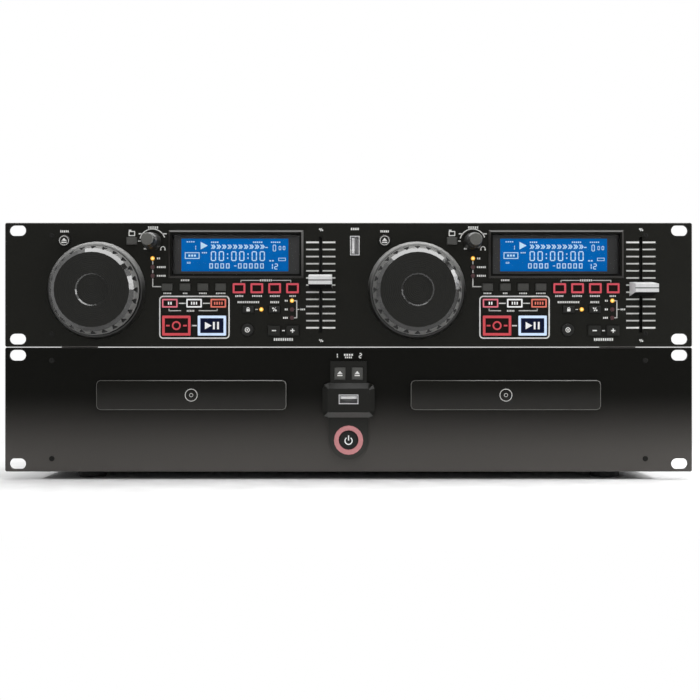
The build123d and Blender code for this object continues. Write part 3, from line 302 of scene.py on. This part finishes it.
def paint_jog_wheel(side):
    name = f"{side}_jog_wheel"
    x, z = middle(name)
    top_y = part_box(name)[0][1] / MM
    grooved = material(f"{side}_jog_top", (0.0125, 0.0125, 0.011), 0.38, specular=0.14)
    rings(grooved, x, z, GROOVE_PITCH, GROOVE_DEPTH)
    repaint(name, grooved, lambda c, n: n.y < -0.9 and c.y < top_y + pad_depth)
    # painted shade in the dimples
    repaint(name, jog_dimple_shade, lambda c, n: n.y < -0.9 and top_y + 2 < c.y < top_y + dimple_depth)
    # painted reflection on the wheel's shoulder
    repaint(name, jog_shoulder_painted_reflection, lambda c, n: -0.5 < n.y < -0.25 and c.y < top_y + shoulder_depth)
    # the fixed ring round the wheel gets its painted highlight
    repaint("panel_bezels", jog_ring_painted_highlight, lambda c, n: from_middle(c, x, z) < RING_REACH)


def paint_knob(side):
    knob_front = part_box(f"{side}_track_knob")[0][1] / MM
    repaint(f"{side}_track_knob", knob_grey, lambda c, n: n.y < -0.3 and c.y < knob_front + 1)


def paint_fader(side):
    """A silver cap with painted shade on its downward faces, and a dark line across its middle."""
    name = f"{side}_pitch_fader"
    _, z = middle(name)
    cap_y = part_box(name)[0][1] / MM
    repaint(name, fader_painted_shade, lambda c, n: n.z < -0.5)
    repaint(name, socket_black,
            lambda c, n: cap_y + 0.1 < c.y < cap_y + 0.6 and abs(c.z - z) < 0.45)


def paint_fascia(side):
    name = f"{side}_disc_tray"
    fascia_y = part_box(name)[0][1] / MM
    repaint(name, fascia_black, lambda c, n: c.y < fascia_y + fascia_thickness)
    # painted highlight on the fascia's chamfers
    repaint(name, fascia_edge_highlight, lambda c, n: c.y < fascia_y + fascia_chamfer and slanted(n))


def paint_bezels():
    """Painted highlight: the slanted faces of the display bezels, clear of the jog rings, are
    lighter.
    """
    wheels = [middle(f"{side}_jog_wheel") for side in sides]
    repaint("panel_bezels", bezel_bevel_highlight,
            lambda c, n: -0.95 < n.y < -0.3 and abs(n.x) + abs(n.z) > 0.5
            and min(from_middle(c, x, z) for x, z in wheels) > RING_REACH)


def paint_boards():
    """Grey parts on green boards; the display modules and sockets' insides are black."""
    repaint("controller_board", block_grey,
            lambda c, n: c.y < face_mm + 11.5 or c.y > face_mm + 20)
    repaint("controller_board", socket_black, lambda c, n: c.y < face_mm + 5)
    repaint("player_board", block_grey, lambda c, n: c.z > 20 or c.y < face_mm + 11)
    repaint("usb_and_power_sockets", socket_black, lambda c, n: c.y > face_mm + 60)
    for x, z in ((4.4, controller_z + 27.5), (0, player_z + 7.4)):
        repaint("usb_and_power_sockets", tongue_white,
                lambda c, n: abs(c.y - (face_mm + 7.5)) < 12.5 and n.y < -0.99
                and max(abs(c.x - x), abs(c.z - z)) < 5.6)


def paint_control_bezel():
    """The foot bevel of the raised housing, lighter as a painted reflection of the floor, and the
    glowing ring round the power button.
    """
    boss_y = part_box("player_control_bezel")[0][1] / MM
    x, z = middle("power_button")
    repaint("player_control_bezel", module_bevel_reflection,
            lambda c, n: c.y < boss_y + 3.9 and n.z < -0.3 and n.y < -0.2)
    repaint("player_control_bezel", ring_glow, lambda c, n: from_middle(c, x, z) < 10.25)


# Painted highlight on the panels' slanted edges.
for name in ("controller_front_panel", "player_front_panel"):
    repaint(name, panel_edge_highlight, lambda c, n: slanted(n))
for side in sides:
    paint_jog_wheel(side)
    paint_knob(side)
    paint_fader(side)
    paint_fascia(side)
paint_bezels()
paint_boards()
paint_control_bezel()

# ---- Small edges on keys and housings ----------------------------------------------------------


def soften(name, width):
    """A fine rounded edge that shows as a highlight; the mesh itself stays as it is."""
    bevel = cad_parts[name].modifiers.new("edge", "BEVEL")
    bevel.width = width * MM
    bevel.segments = 2
    bevel.limit_method = "ANGLE"
    bevel.angle_limit = radians(35)


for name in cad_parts:
    if name.endswith("_button"):
        soften(name, 0.15)
soften("player_control_bezel", 0.3)
for side in sides:
    soften(f"{side}_disc_tray", 0.25)

# ---- Prints: flat shapes on the panels and keys ------------------------------------------------


class Print:
    """Flat shapes at one height before the panels, gathered into one mesh."""

    def __init__(self, name, made, slot, body="root", height=0.0):
        self.name, self.made, self.slot, self.body = name, made, slot, body
        self.y = face_y - height - PRINT
        self.mesh = bmesh.new()

    def shape(self, points):
        corners = [self.mesh.verts.new((x * MM, self.y, z * MM)) for x, z in points]
        self.mesh.faces.new(corners)

    def bar(self, x, z, width, height, lean=0.0):
        """A bar about (x, z); a leaning bar's top is shifted to the right."""
        self.shape([(x - width / 2 - lean, z - height / 2), (x + width / 2 - lean, z - height / 2),
                    (x + width / 2 + lean, z + height / 2), (x - width / 2 + lean, z + height / 2)])

    def disc(self, x, z, radius, count=24):
        turns = [2 * pi * step / count for step in range(count)]
        self.shape([(x + radius * cos(turn), z + radius * sin(turn)) for turn in turns])

    def arc(self, x, z, radius, line, start, end, count=24):
        """A band round (x, z) between two angles in degrees, anticlockwise."""
        inner, outer = radius - line / 2, radius + line / 2
        turns = [radians(start + (end - start) * step / count) for step in range(count + 1)]
        for a, b in zip(turns, turns[1:]):
            self.shape([(x + radius * cos(turn), z + radius * sin(turn))
                        for radius, turn in ((inner, a), (outer, a), (outer, b), (inner, b))])

    def outline(self, x, z, width, height, line, corner=0.0):
        """A frame of a rectangle with round corners, measured along its outer edge."""
        def edge(inset):
            half_x, half_z = width / 2 - corner, height / 2 - corner
            radius = max(corner - inset, 0)
            step_in = max(inset - corner, 0)
            return [(x + sx * (half_x - step_in) + radius * cos(turn),
                     z + sz * (half_z - step_in) + radius * sin(turn))
                    for quarter, (sx, sz) in enumerate(((1, 1), (-1, 1), (-1, -1), (1, -1)))
                    for turn in (radians(90 * quarter + part * 18) for part in range(6))]
        outer, inner = edge(0), edge(line)
        for step in range(len(outer)):
            after = (step + 1) % len(outer)
            corners = [outer[step], outer[after], inner[after], inner[step]]
            if (Vector(outer[step]) - Vector(outer[after])).length > 1e-6:
                if (Vector(inner[step]) - Vector(inner[after])).length < 1e-6:
                    corners.pop()
                self.shape(corners)

    def word(self, x, z, count, height=1.3, pitch=1.25):
        """A row of small blocks where the photograph has a label; it spells nothing."""
        for step in range(count):
            self.bar(x + (step - (count - 1) / 2) * pitch, z, pitch * 0.68, height)

    def finish(self):
        made = bpy.data.meshes.new(self.name)
        self.mesh.to_mesh(made)
        self.mesh.free()
        made.materials.append(self.made)
        piece = bpy.data.objects.new(self.name, made)
        bpy.context.scene.collection.objects.link(piece)
        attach(piece, self.body)
        return piece


# Bars of a seven-bar digit: a top, b and c right, d foot, e and f left, g middle.
SEGMENTS = {"0": "abcdef", "1": "bc", "2": "abged"}


def digit(sheet, sign, x, z, width, height, line):
    """One seven-bar digit about (x, z)."""
    bars = {"a": (0, height / 2, width, line), "d": (0, -height / 2, width, line),
            "g": (0, 0, width, line), "b": (width / 2, height / 4, line, height / 2),
            "c": (width / 2, -height / 4, line, height / 2),
            "e": (-width / 2, -height / 4, line, height / 2),
            "f": (-width / 2, height / 4, line, height / 2)}
    for bar in SEGMENTS[sign]:
        shift_x, shift_z, wide, high = bars[bar]
        sheet.bar(x + shift_x, z + shift_z, max(wide - line / 2, line), max(high - line / 2, line))


def eject_sign(sheet, x, z, size):
    """A triangle over a bar."""
    foot = z - size * 0.08
    sheet.shape([(x - size / 2, foot), (x + size / 2, foot), (x, z + size * 0.5)])
    sheet.bar(x, z - size * 0.36, size, size * 0.24)


# A deck's places are given to the right of its middle line and above the panel's middle.
lamp_column = -25.1                              # the three source lamps
source_lamps = ((18.5, 2), (12.4, 5), (6.3, 5))  # height and length of the label
range_column = 72.7                              # the three pitch range lamps
range_lamps = ((-11.2, 2), (-17.3, 2), (-23.2, 3))
key_lock_lamp = (51.2, -17.3)
knob_place = (-25.3, 30.2)
tick_count, tick_pitch, tick_top = 13, 5.0, 29.8
tick_columns, tick_length = (87.1, 98.6), 9.0
LINE = 0.7                                       # thin lines between the marks

white = Print("panel_prints", ink, "controller_panel")
faint = Print("panel_fine_prints", faint_ink, "controller_panel")


def on_deck(deck_middle):
    """Turns a deck's places into places on the panel."""
    def at(place_x, place_z):
        return deck_middle + place_x, controller_z + place_z
    return at


def print_knob_marks(at):
    """Eject label, folder sign and the marks round the track knob."""
    white.word(*at(-87.1, 37.5), 5, 1.5, 1.25)
    white.outline(*at(-39.8, 36.0), 4.6, 3.6, 0.7, 0.5)
    white.bar(*at(-41.0, 38.2), 1.8, 0.9)
    for dash_x in (-33.4, -16.9):
        white.bar(*at(dash_x, 35.8), 3.2, 0.8)
    white.bar(*at(-34.6, 30.7), 1.8, 0.6)
    white.word(*at(-24.9, 40.2), 5, 1.7, 1.5)
    white.arc(*at(*knob_place), 9.0, LINE, 20, 165)
    white.word(*at(-26.6, 25.3), 9, 1.0, 1.1)
    white.arc(*at(-18.0, 25.3), 1.5, 0.5, 0, 180, 10)
    for ear_x in (-19.5, -16.5):
        white.bar(*at(ear_x, 24.7), 0.8, 1.2)


def print_source_marks(at):
    """Labels of the source lamps and the line from them to the menu keys."""
    for lamp_z, count in source_lamps:
        white.word(*at(-22.4 + 0.65 * count, lamp_z), count, 1.3, 1.3)
    for top, foot in ((16.6, 14.3), (10.5, 8.2)):
        faint.bar(*at(lamp_column, (top + foot) / 2), LINE, top - foot)
    faint.bar(*at(lamp_column, 1.6), LINE, 5.6)
    faint.bar(*at(-22.3, -1.3), 6.2, LINE)


def print_menu_marks(at):
    for key_x, count in ((-14.9, 5), (-2.4, 3), (10.1, 5), (22.6, 6)):
        white.word(*at(key_x, -6.0), count, 1.0, 1.15)
    white.word(*at(-2.4, 3.2), 5, 1.2, 1.25)


def print_effect_marks(at):
    """The bracket over the effect keys and the labels under them."""
    for bar_x in (43.4, 65.2):
        faint.bar(*at(bar_x, 3.1), 13.2, 0.6)
    for end_x in (36.8, 71.8):
        faint.bar(*at(end_x, 2.4), 0.6, 1.6)
    white.word(*at(54.3, 3.1), 7, 1.4, 1.25)
    for key_x, count in ((35.6, 5), (48.1, 6), (60.6, 6), (73.1, 4)):
        white.word(*at(key_x, -7.9), count, 1.2, 1.2)


def print_loop_box(at):
    """The white frame round the loop, cue and play keys, with its dashes and bracket."""
    white.outline(*at(4.15, -22.8), 49.5, 30.2, 0.9, 2.8)
    for dash_x in (-4.4, 12.6):
        white.bar(*at(dash_x, -13.0), 5.0, LINE)
    faint.bar(*at(-9.6, -18.2), 8.6, LINE)
    faint.bar(*at(13.7, -18.2), 13.2, LINE)
    for end_x in (20.1, -13.7):
        faint.bar(*at(end_x, -17.4), LINE, 1.4)
    white.word(*at(1.4, -18.3), 5, 1.3, 1.1)
    white.bar(*at(4.15, -28.7), 3.6, 0.9)


def print_pitch_marks(at):
    """Labels of the key lock, pitch range and pitch bend keys and their lamps."""
    white.word(*at(42.0, -12.2), 12, 1.4, 1.3)
    white.word(*at(60.5, -12.2), 5, 1.4, 1.3)
    faint.bar(*at(47.8, -17.3), 1.7, 0.6)
    for lamp_z, count in range_lamps:
        white.word(*at(69.8 - 0.6 * count, lamp_z), count, 1.3, 1.2)
    faint.bar(*at(76.0, -17.2), LINE, 12.4)
    for end_z in (-23.2, -11.2):
        faint.bar(*at(74.9, end_z), 1.8, LINE)
    faint.bar(*at(77.0, -17.3), 1.6, 0.6)
    white.word(*at(80.2, -17.3), 3, 1.2, 1.2)
    white.bar(*at(66.6, -32.2), 2.0, 0.8)
    white.word(*at(66.6, -38.4), 9, 1.9, 1.55)


def print_fader_scale(at):
    """Ticks on both sides of the pitch fader, the end ones bolder, and a sign at each end."""
    for step in range(tick_count):
        at_end = step in (0, tick_count - 1)
        sheet, height = (white, 1.2) if at_end else (faint, 1.0)
        for tick_x in tick_columns:
            sheet.bar(*at(tick_x, tick_top - tick_pitch * step), tick_length, height)
    for mark_x, mark_z in ((93.1, 38.7), (93.1, -39.2)):
        white.disc(*at(mark_x - 0.9, mark_z + 0.4), 0.6, 8)
        white.disc(*at(mark_x + 0.9, mark_z - 0.4), 0.6, 8)
        white.bar(*at(mark_x, mark_z), 0.5, 2.0, 0.5)


for deck_middle in deck_x.values():
    at = on_deck(deck_middle)
    for print_marks in (print_knob_marks, print_source_marks, print_menu_marks, print_effect_marks,
                        print_loop_box, print_pitch_marks, print_fader_scale):
        print_marks(at)
white.word(4.4, controller_z + 39.2, 4, 1.6, 1.5)
white.finish()
faint.finish()

player_marks = Print("player_prints", ink, "player_panel")
for key_x, sign in ((-8.7, "1"), (8.3, "2")):
    digit(player_marks, sign, key_x, player_z + 37.8, 1.6, 3.0, 0.7)
player_marks.word(-0.1, player_z + 38.4, 4, 1.4, 1.7)
player_marks.word(-0.1, player_z + 36.6, 4, 1.2, 1.3)
player_marks.finish()

# ---- Signs on the keys -------------------------------------------------------------------------



def key_print(node, made=ink, part="sign", slot="black_key", height=0.0):
    """A sheet on a key's face; returns it with the middle of the key."""
    sheet = Print(f"{node}_{part}", made, slot, node, front(node) + height)
    return (sheet, *middle(node))


def sign_eject(node):
    sign, x, z = key_print(node)
    eject_sign(sign, x, z, 3.7)
    sign.finish()


def rim_eject(node):
    rim, x, z = key_print(node, faint_ink, "rim")
    rim.arc(x, z, 3.2, 0.5, 0, 360, 24)
    rim.finish()


def sign_tap(node):
    sign, x, z = key_print(node)
    sign.arc(x, z, 1.5, 0.6, 0, 360, 16)
    sign.disc(x, z, 0.6, 12)
    sign.finish()


def sign_key_lock(node):
    """A padlock."""
    sign, x, z = key_print(node)
    sign.bar(x, z - 0.5, 2.4, 1.8)
    sign.arc(x, z + 0.4, 0.8, 0.5, 0, 180, 10)
    sign.finish()


def sign_pitch_range(node):
    """A percent sign."""
    sign, x, z = key_print(node)
    for corner in (-1.0, 1.0):
        sign.disc(x + corner, z - 0.7 * corner, 0.65, 12)
    sign.bar(x, z, 0.6, 2.6, 0.7)
    sign.finish()


def sign_pitch_bend(node, plus):
    sign, x, z = key_print(node)
    sign.bar(x, z, 3.0, 0.8)
    if plus:
        for step in (0.95, -0.95):
            sign.bar(x, z + step, 0.8, 1.1)
    sign.finish()


def sign_power():
    """An open ring with an upright bar."""
    x, z = middle("power_button")
    sign = Print("power_sign", white_glow, "black_key", "power_button", front("power_button"))
    sign.arc(x, z - 0.4, 2.5, 0.75, 125, 415, 30)
    sign.bar(x, z + 1.6, 0.8, 3.6)
    sign.finish()


for node in ("left_tray_button", "right_tray_button", "left_eject_button", "right_eject_button"):
    sign_eject(node)
for side in sides:
    rim_eject(f"{side}_eject_button")
    sign_tap(f"{side}_tap_button")
    sign_key_lock(f"{side}_key_lock_button")
    sign_pitch_range(f"{side}_pitch_range_button")
    sign_pitch_bend(f"{side}_pitch_bend_down_button", False)
    sign_pitch_bend(f"{side}_pitch_bend_up_button", True)
sign_power()

# ---- Lit keys: a glowing frame round a dark middle ---------------------------------------------

RIM = 0.3                                        # key edge beyond the frame
FLANGE = 2.0                                     # a key's flange, behind the panel
FRAME_CORNER = 0.6


def lit_key(node, glow, heart, line, slot):
    """The glowing frame and dark middle of a lit key."""
    low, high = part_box(node)
    width = (high[0] - low[0]) / MM - FLANGE - 2 * RIM
    height = (high[2] - low[2]) / MM - FLANGE - 2 * RIM
    border, x, z = key_print(node, glow, "frame", slot)
    border.outline(x, z, width, height, line, FRAME_CORNER)
    border.finish()
    inside, x, z = key_print(node, heart, "middle", slot)
    inside.bar(x, z, width - 2 * line, height - 2 * line)
    inside.finish()


def loop_key(node, glow, sign_glow, count):
    """A loop key; its sign is a row of bars."""
    lit_key(node, glow, key_heart, 1.0, "loop_key")
    sign, x, z = key_print(node, sign_glow, "sign", "loop_key", PRINT)
    for step in range(count):
        sign.bar(x + (step - (count - 1) / 2) * 1.7, z, 0.9, 2.0)
    sign.finish()


def cue_key(node):
    """The cue key; its sign is a ring between two dashes."""
    lit_key(node, cue_glow, key_heart, 1.8, "cue_key")
    sign, x, z = key_print(node, cue_glow, "sign", "cue_key", PRINT)
    sign.arc(x, z, 2.6, 1.1, 0, 360, 28)
    for dash_x in (-6.0, 6.0):
        sign.bar(x + dash_x, z, 2.6, 1.1)
    sign.finish()


def play_key(node):
    """The play and pause key."""
    lit_key(node, blue_glow, navy_heart, 1.8, "play_key")
    sign, x, z = key_print(node, white_glow, "sign", "play_key", PRINT)
    sign.shape([(x - 4.9, z - 2.6), (x - 0.2, z), (x - 4.9, z + 2.6)])
    for bar_x in (1.4, 4.3):
        sign.bar(x + bar_x, z, 1.3, 5.2)
    sign.finish()


for side in sides:
    for number in range(1, 5):
        lit_key(f"{side}_effect_button_{number}", red_glow, key_heart, 1.3, "effect_key")
    loop_key(f"{side}_loop_in_button", pink_glow, white_glow, 2)
    loop_key(f"{side}_loop_out_button", white_glow, white_glow, 3)
    loop_key(f"{side}_reloop_button", orange_glow, orange_glow, 4)
    cue_key(f"{side}_cue_button")
    play_key(f"{side}_play_button")

# ---- Lamps -------------------------------------------------------------------------------------

LAMP_R, HEART_R = 1.45, 0.8
lamp_front = front("indicator_lamps")
lit = Print("lit_lamps", amber_glow, "lamp", height=lamp_front)
hearts = Print("lit_lamp_hearts", amber_heart, "lamp", height=lamp_front + PRINT)
unlit = Print("unlit_lamps", dark_red, "lamp", height=lamp_front)


def print_lamps(at):
    """The first lamp of each column and the key lock lamp are lit."""
    lamps = [((lamp_column, z), step == 0) for step, (z, _) in enumerate(source_lamps)]
    lamps += [(key_lock_lamp, True)]
    lamps += [((range_column, z), step == 0) for step, (z, _) in enumerate(range_lamps)]
    for place, on in lamps:
        (lit if on else unlit).disc(*at(*place), LAMP_R)
        if on:
            hearts.disc(*at(*place), HEART_R)


for deck_middle in deck_x.values():
    print_lamps(on_deck(deck_middle))
for sheet in (lit, hearts, unlit):
    sheet.finish()

# ---- Displays ----------------------------------------------------------------------------------

lcd_depth = 3.5 * MM                             # module face behind the panels' face
lcd_width, lcd_height = 75.4, 23.0
lcd_place = (32.2, 21.2)                         # on a deck


def upper_row(signs, left, top):
    """Track number, play arrow, the row of arrows and the pitch."""
    for word_x, drop, count, height in ((6.5, 2.2, 4, 0.8), (23.5, 2.5, 4, 1.0),
                                        (53.8, 2.5, 5, 1.0), (66.5, 2.5, 5, 0.8)):
        signs.word(left + word_x, top - drop, count, height, 1.4 if word_x > 10 else 1.5)
    digit(signs, "1", left + 9.4, top - 6.3, 1.4, 3.0, 0.45)
    signs.shape([(left + 13.6, top - 7.6), (left + 18.6, top - 4.9), (left + 13.6, top - 2.2)])
    for step in range(10):
        for shift in (0.0, 1.3):
            chevron(signs, left + 20.8 + step * 3.85 + shift, top - 5.7)
    signs.bar(left + 60.0, top - 6.2, 1.8, 0.7)
    digit(signs, "0", left + 65.6, top - 6.6, 1.8, 4.2, 0.5)
    for place in (69.5, 72.4):
        digit(signs, "0", left + place, top - 6.6, 1.3, 2.4, 0.5)


def chevron(signs, x, z):
    """An arrow head that points to the right."""
    for way in (-1, 1):
        foot = z + 1.5 * way
        edge = [(x, foot), (x + 0.9, foot), (x + 2.1, z), (x + 1.2, z)]
        signs.shape(edge if way < 0 else edge[::-1])


def middle_row(signs, left, top):
    """The time in seven-bar digits and the framed marks at its left."""
    signs.word(left + 16.2, top - 9.9, 3, 0.9, 1.3)
    signs.outline(left + 7.6, top - 11.9, 10.4, 4.6, 0.6)
    signs.word(left + 7.6, top - 11.9, 3, 1.4, 2.0)
    signs.outline(left + 5.2, top - 17.0, 2.4, 1.2, 0.35)
    for place in (22.6, 28.2, 37.0, 42.6, 51.4, 57.0):
        digit(signs, "0", left + place, top - 12.3, 3.0, 6.2, 0.75)
    for colon in (32.6, 47.0):
        for drop in (10.9, 13.7):
            signs.bar(left + colon, top - drop, 0.8, 1.1)


def lower_row(signs, left, top):
    """Two groups of plain frames where the photograph has words, and the bar at their right."""
    for place, count in ((21.0, 4), (41.2, 5)):
        for step in range(count):
            signs.outline(left + place + step * 3.9, top - 19.2, 2.5, 3.6, 0.6)
    signs.bar(left + 38.0, top - 19.2, 1.6, 0.6)
    signs.word(left + 63.6, top - 15.6, 2, 0.9, 1.9)
    signs.outline(left + 71.0, top - 14.6, 5.2, 2.2, 0.4)
    for place, sign in ((63.2, "1"), (66.8, "2")):
        digit(signs, sign, left + place, top - 19.6, 2.0, 3.6, 0.6)


for side, deck_middle in deck_x.items():
    lcd_x, lcd_z = on_deck(deck_middle)(*lcd_place)
    field = Print(f"{side}_display_field", lcd_blue, "window", height=0.02 * MM - lcd_depth)
    field.bar(lcd_x, lcd_z, lcd_width, lcd_height)
    field.finish()
    signs = Print(f"{side}_display_signs", lcd_white, "window", height=0.1 * MM - lcd_depth)
    for print_row in (upper_row, middle_row, lower_row):
        print_row(signs, lcd_x - lcd_width / 2, lcd_z + lcd_height / 2)
    signs.finish()

# ---- Signs on the tray fascias, screws ---------------------------------------------------------

fascia_middle = 10.2                             # over the middle of the player's panel
for side in sides:
    tray = f"{side}_disc_tray"
    x, _ = middle(tray)
    badge = Print(f"{side}_disc_sign", faint_ink, "tray_plastic", tray, front(tray))
    badge.arc(x, player_z + fascia_middle, 4.2, 0.5, 0, 360, 36)
    badge.arc(x, player_z + fascia_middle, 1.2, 0.4, 0, 360, 20)
    badge.finish()

screw_black = material("screw_black", (0.011, 0.011, 0.010), 0.45, specular=0.1)


def screw(x, z, name):
    """A small domed screw head with a round dip, lying on its panel."""
    head = bmesh.new()
    levels = ((1.9, 0.0), (1.9, 0.15), (1.5, 0.35), (0.75, 0.4))
    count = 20
    loops = [[head.verts.new(((x + radius * cos(2 * pi * step / count)) * MM, face_y - height * MM,
                              (z + radius * sin(2 * pi * step / count)) * MM))
              for step in range(count)] for radius, height in levels]
    for lower, upper in zip(loops, loops[1:]):
        for step in range(count):
            after = (step + 1) % count
            head.faces.new((lower[step], lower[after], upper[after], upper[step]))
    dip = head.verts.new((x * MM, face_y - 0.1 * MM, z * MM))
    for step in range(count):
        head.faces.new((loops[-1][step], loops[-1][(step + 1) % count], dip))
    made = bpy.data.meshes.new(name)
    head.to_mesh(made)
    head.free()
    made.materials.append(screw_black)
    piece = bpy.data.objects.new(name, made)
    bpy.context.scene.collection.objects.link(piece)
    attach(piece, "root")


screw_x, screw_z = 208.4, 34.5                   # from a panel's middle
screw_places = [(right * screw_x, panel_middle + up * screw_z)
                for panel_middle in (controller_z, player_z) for right in (-1, 1) for up in (-1, 1)]
for number, (x, z) in enumerate(screw_places):
    screw(x, z, f"panel_screw_{number}")

# ---- Camera ------------------------------------------------------------------------------------

picture_width = 491.6 * MM                       # width of the picture at the panels
camera_distance = 800.0 * MM                     # from the panels' faces
camera_x = 1.0 * MM
camera_drop = 2.0 * MM                           # below the joint between the panels


def add_camera():
    data = bpy.data.cameras.new("camera")
    data.sensor_fit = "HORIZONTAL"
    data.angle = 2 * atan(picture_width / 2 / camera_distance)
    data.clip_start = 0.01
    camera = bpy.data.objects.new("camera", data)
    camera.location = (camera_x, face_y - camera_distance, joint_z - camera_drop)
    camera.rotation_euler = (radians(90), 0, 0)
    bpy.context.scene.collection.objects.link(camera)
    bpy.context.scene.camera = camera


add_camera()

# ---- Floor and light ---------------------------------------------------------------------------


def seen_directly(tree):
    """A socket that is 1 for camera, glossy and transmission rays, and 0 for diffuse light."""
    path = tree.nodes.new("ShaderNodeLightPath")
    last = path.outputs["Is Camera Ray"]
    for kind in ("Is Glossy Ray", "Is Transmission Ray"):
        either = tree.nodes.new("ShaderNodeMath")
        either.operation = "MAXIMUM"
        tree.links.new(last, either.inputs[0])
        tree.links.new(path.outputs[kind], either.inputs[1])
        last = either.outputs["Value"]
    return last


floor_half = 3.0
shaded_reach, white_reach = 0.24, 0.40           # the floor turns white between these distances
world_light = 0.25                               # strength for diffuse light


def add_floor():
    """A wide pale floor, white to the camera and to reflections except where it is shaded."""
    mesh = bpy.data.meshes.new("floor")
    corners = [(x * floor_half, y * floor_half, 0) for x, y in ((-1, -1), (1, -1), (1, 1), (-1, 1))]
    mesh.from_pydata(corners, [], [(0, 1, 2, 3)])
    made = material("floor", (0.82, 0.82, 0.82), 0.9, grain=0.0, grain_scale=40.0)
    nodes, links = made.node_tree.nodes, made.node_tree.links
    place = nodes.new("ShaderNodeTexCoord")
    reach = nodes.new("ShaderNodeVectorMath")
    reach.operation = "LENGTH"
    far = nodes.new("ShaderNodeMapRange")
    far.interpolation_type = "SMOOTHSTEP"
    far.inputs["From Min"].default_value = shaded_reach
    far.inputs["From Max"].default_value = white_reach
    share = nodes.new("ShaderNodeMath")
    share.operation = "MULTIPLY"
    white_floor = nodes.new("ShaderNodeEmission")
    mix = nodes.new("ShaderNodeMixShader")
    links.new(place.outputs["Object"], reach.inputs[0])
    links.new(reach.outputs["Value"], far.inputs["Value"])
    links.new(far.outputs["Result"], share.inputs[0])
    links.new(seen_directly(made.node_tree), share.inputs[1])
    links.new(share.outputs["Value"], mix.inputs["Fac"])
    links.new(shader_of(made).outputs["BSDF"], mix.inputs[1])
    links.new(white_floor.outputs["Emission"], mix.inputs[2])
    links.new(mix.outputs["Shader"], nodes["Material Output"].inputs["Surface"])
    mesh.materials.append(made)
    floor = bpy.data.objects.new("floor", mesh)
    bpy.context.scene.collection.objects.link(floor)


def add_area(name, place, aim, size, power):
    data = bpy.data.lights.new(name, "AREA")
    data.shape = "RECTANGLE"
    data.size, data.size_y = size
    data.energy = power
    lamp = bpy.data.objects.new(name, data)
    lamp.location = place
    direction = Vector(aim) - Vector(place)
    lamp.rotation_euler = direction.to_track_quat("-Z", "Y").to_euler()
    bpy.context.scene.collection.objects.link(lamp)


def add_world():
    """Even grey light from all round; the camera, reflections and glass see white."""
    world = bpy.data.worlds.new("world")
    bpy.context.scene.world = world
    world.use_nodes = True
    nodes, links = world.node_tree.nodes, world.node_tree.links
    background = nodes["Background"]
    background.inputs["Color"].default_value = (1, 1, 1, 1)
    background.inputs["Strength"].default_value = world_light
    plain = nodes.new("ShaderNodeBackground")
    plain.inputs["Color"].default_value = (1, 1, 1, 1)
    mix = nodes.new("ShaderNodeMixShader")
    links.new(seen_directly(world.node_tree), mix.inputs["Fac"])
    links.new(background.outputs["Background"], mix.inputs[1])
    links.new(plain.outputs["Background"], mix.inputs[2])
    links.new(mix.outputs["Shader"], nodes["World Output"].inputs["Surface"])


add_floor()
add_world()
studio_lamps = (                                 # name, place, aim, size (metres), power (watts)
    ("top_box", (0.12, face_y + 0.15, 0.85), (0.12, face_y + 0.15, 0.13), (1.2, 0.80), 15),
    ("right_box", (0.95, face_y - 0.05, 0.45), (0, face_y - 0.02, 0.13), (0.5, 0.4), 5),
    ("front_fill", (-0.5, -1.4, 1.1), (0, face_y, 0.05), (0.8, 0.6), 3))
for lamp in studio_lamps:
    add_area(*lamp)
bpy.context.scene.view_settings.view_transform = "Standard"
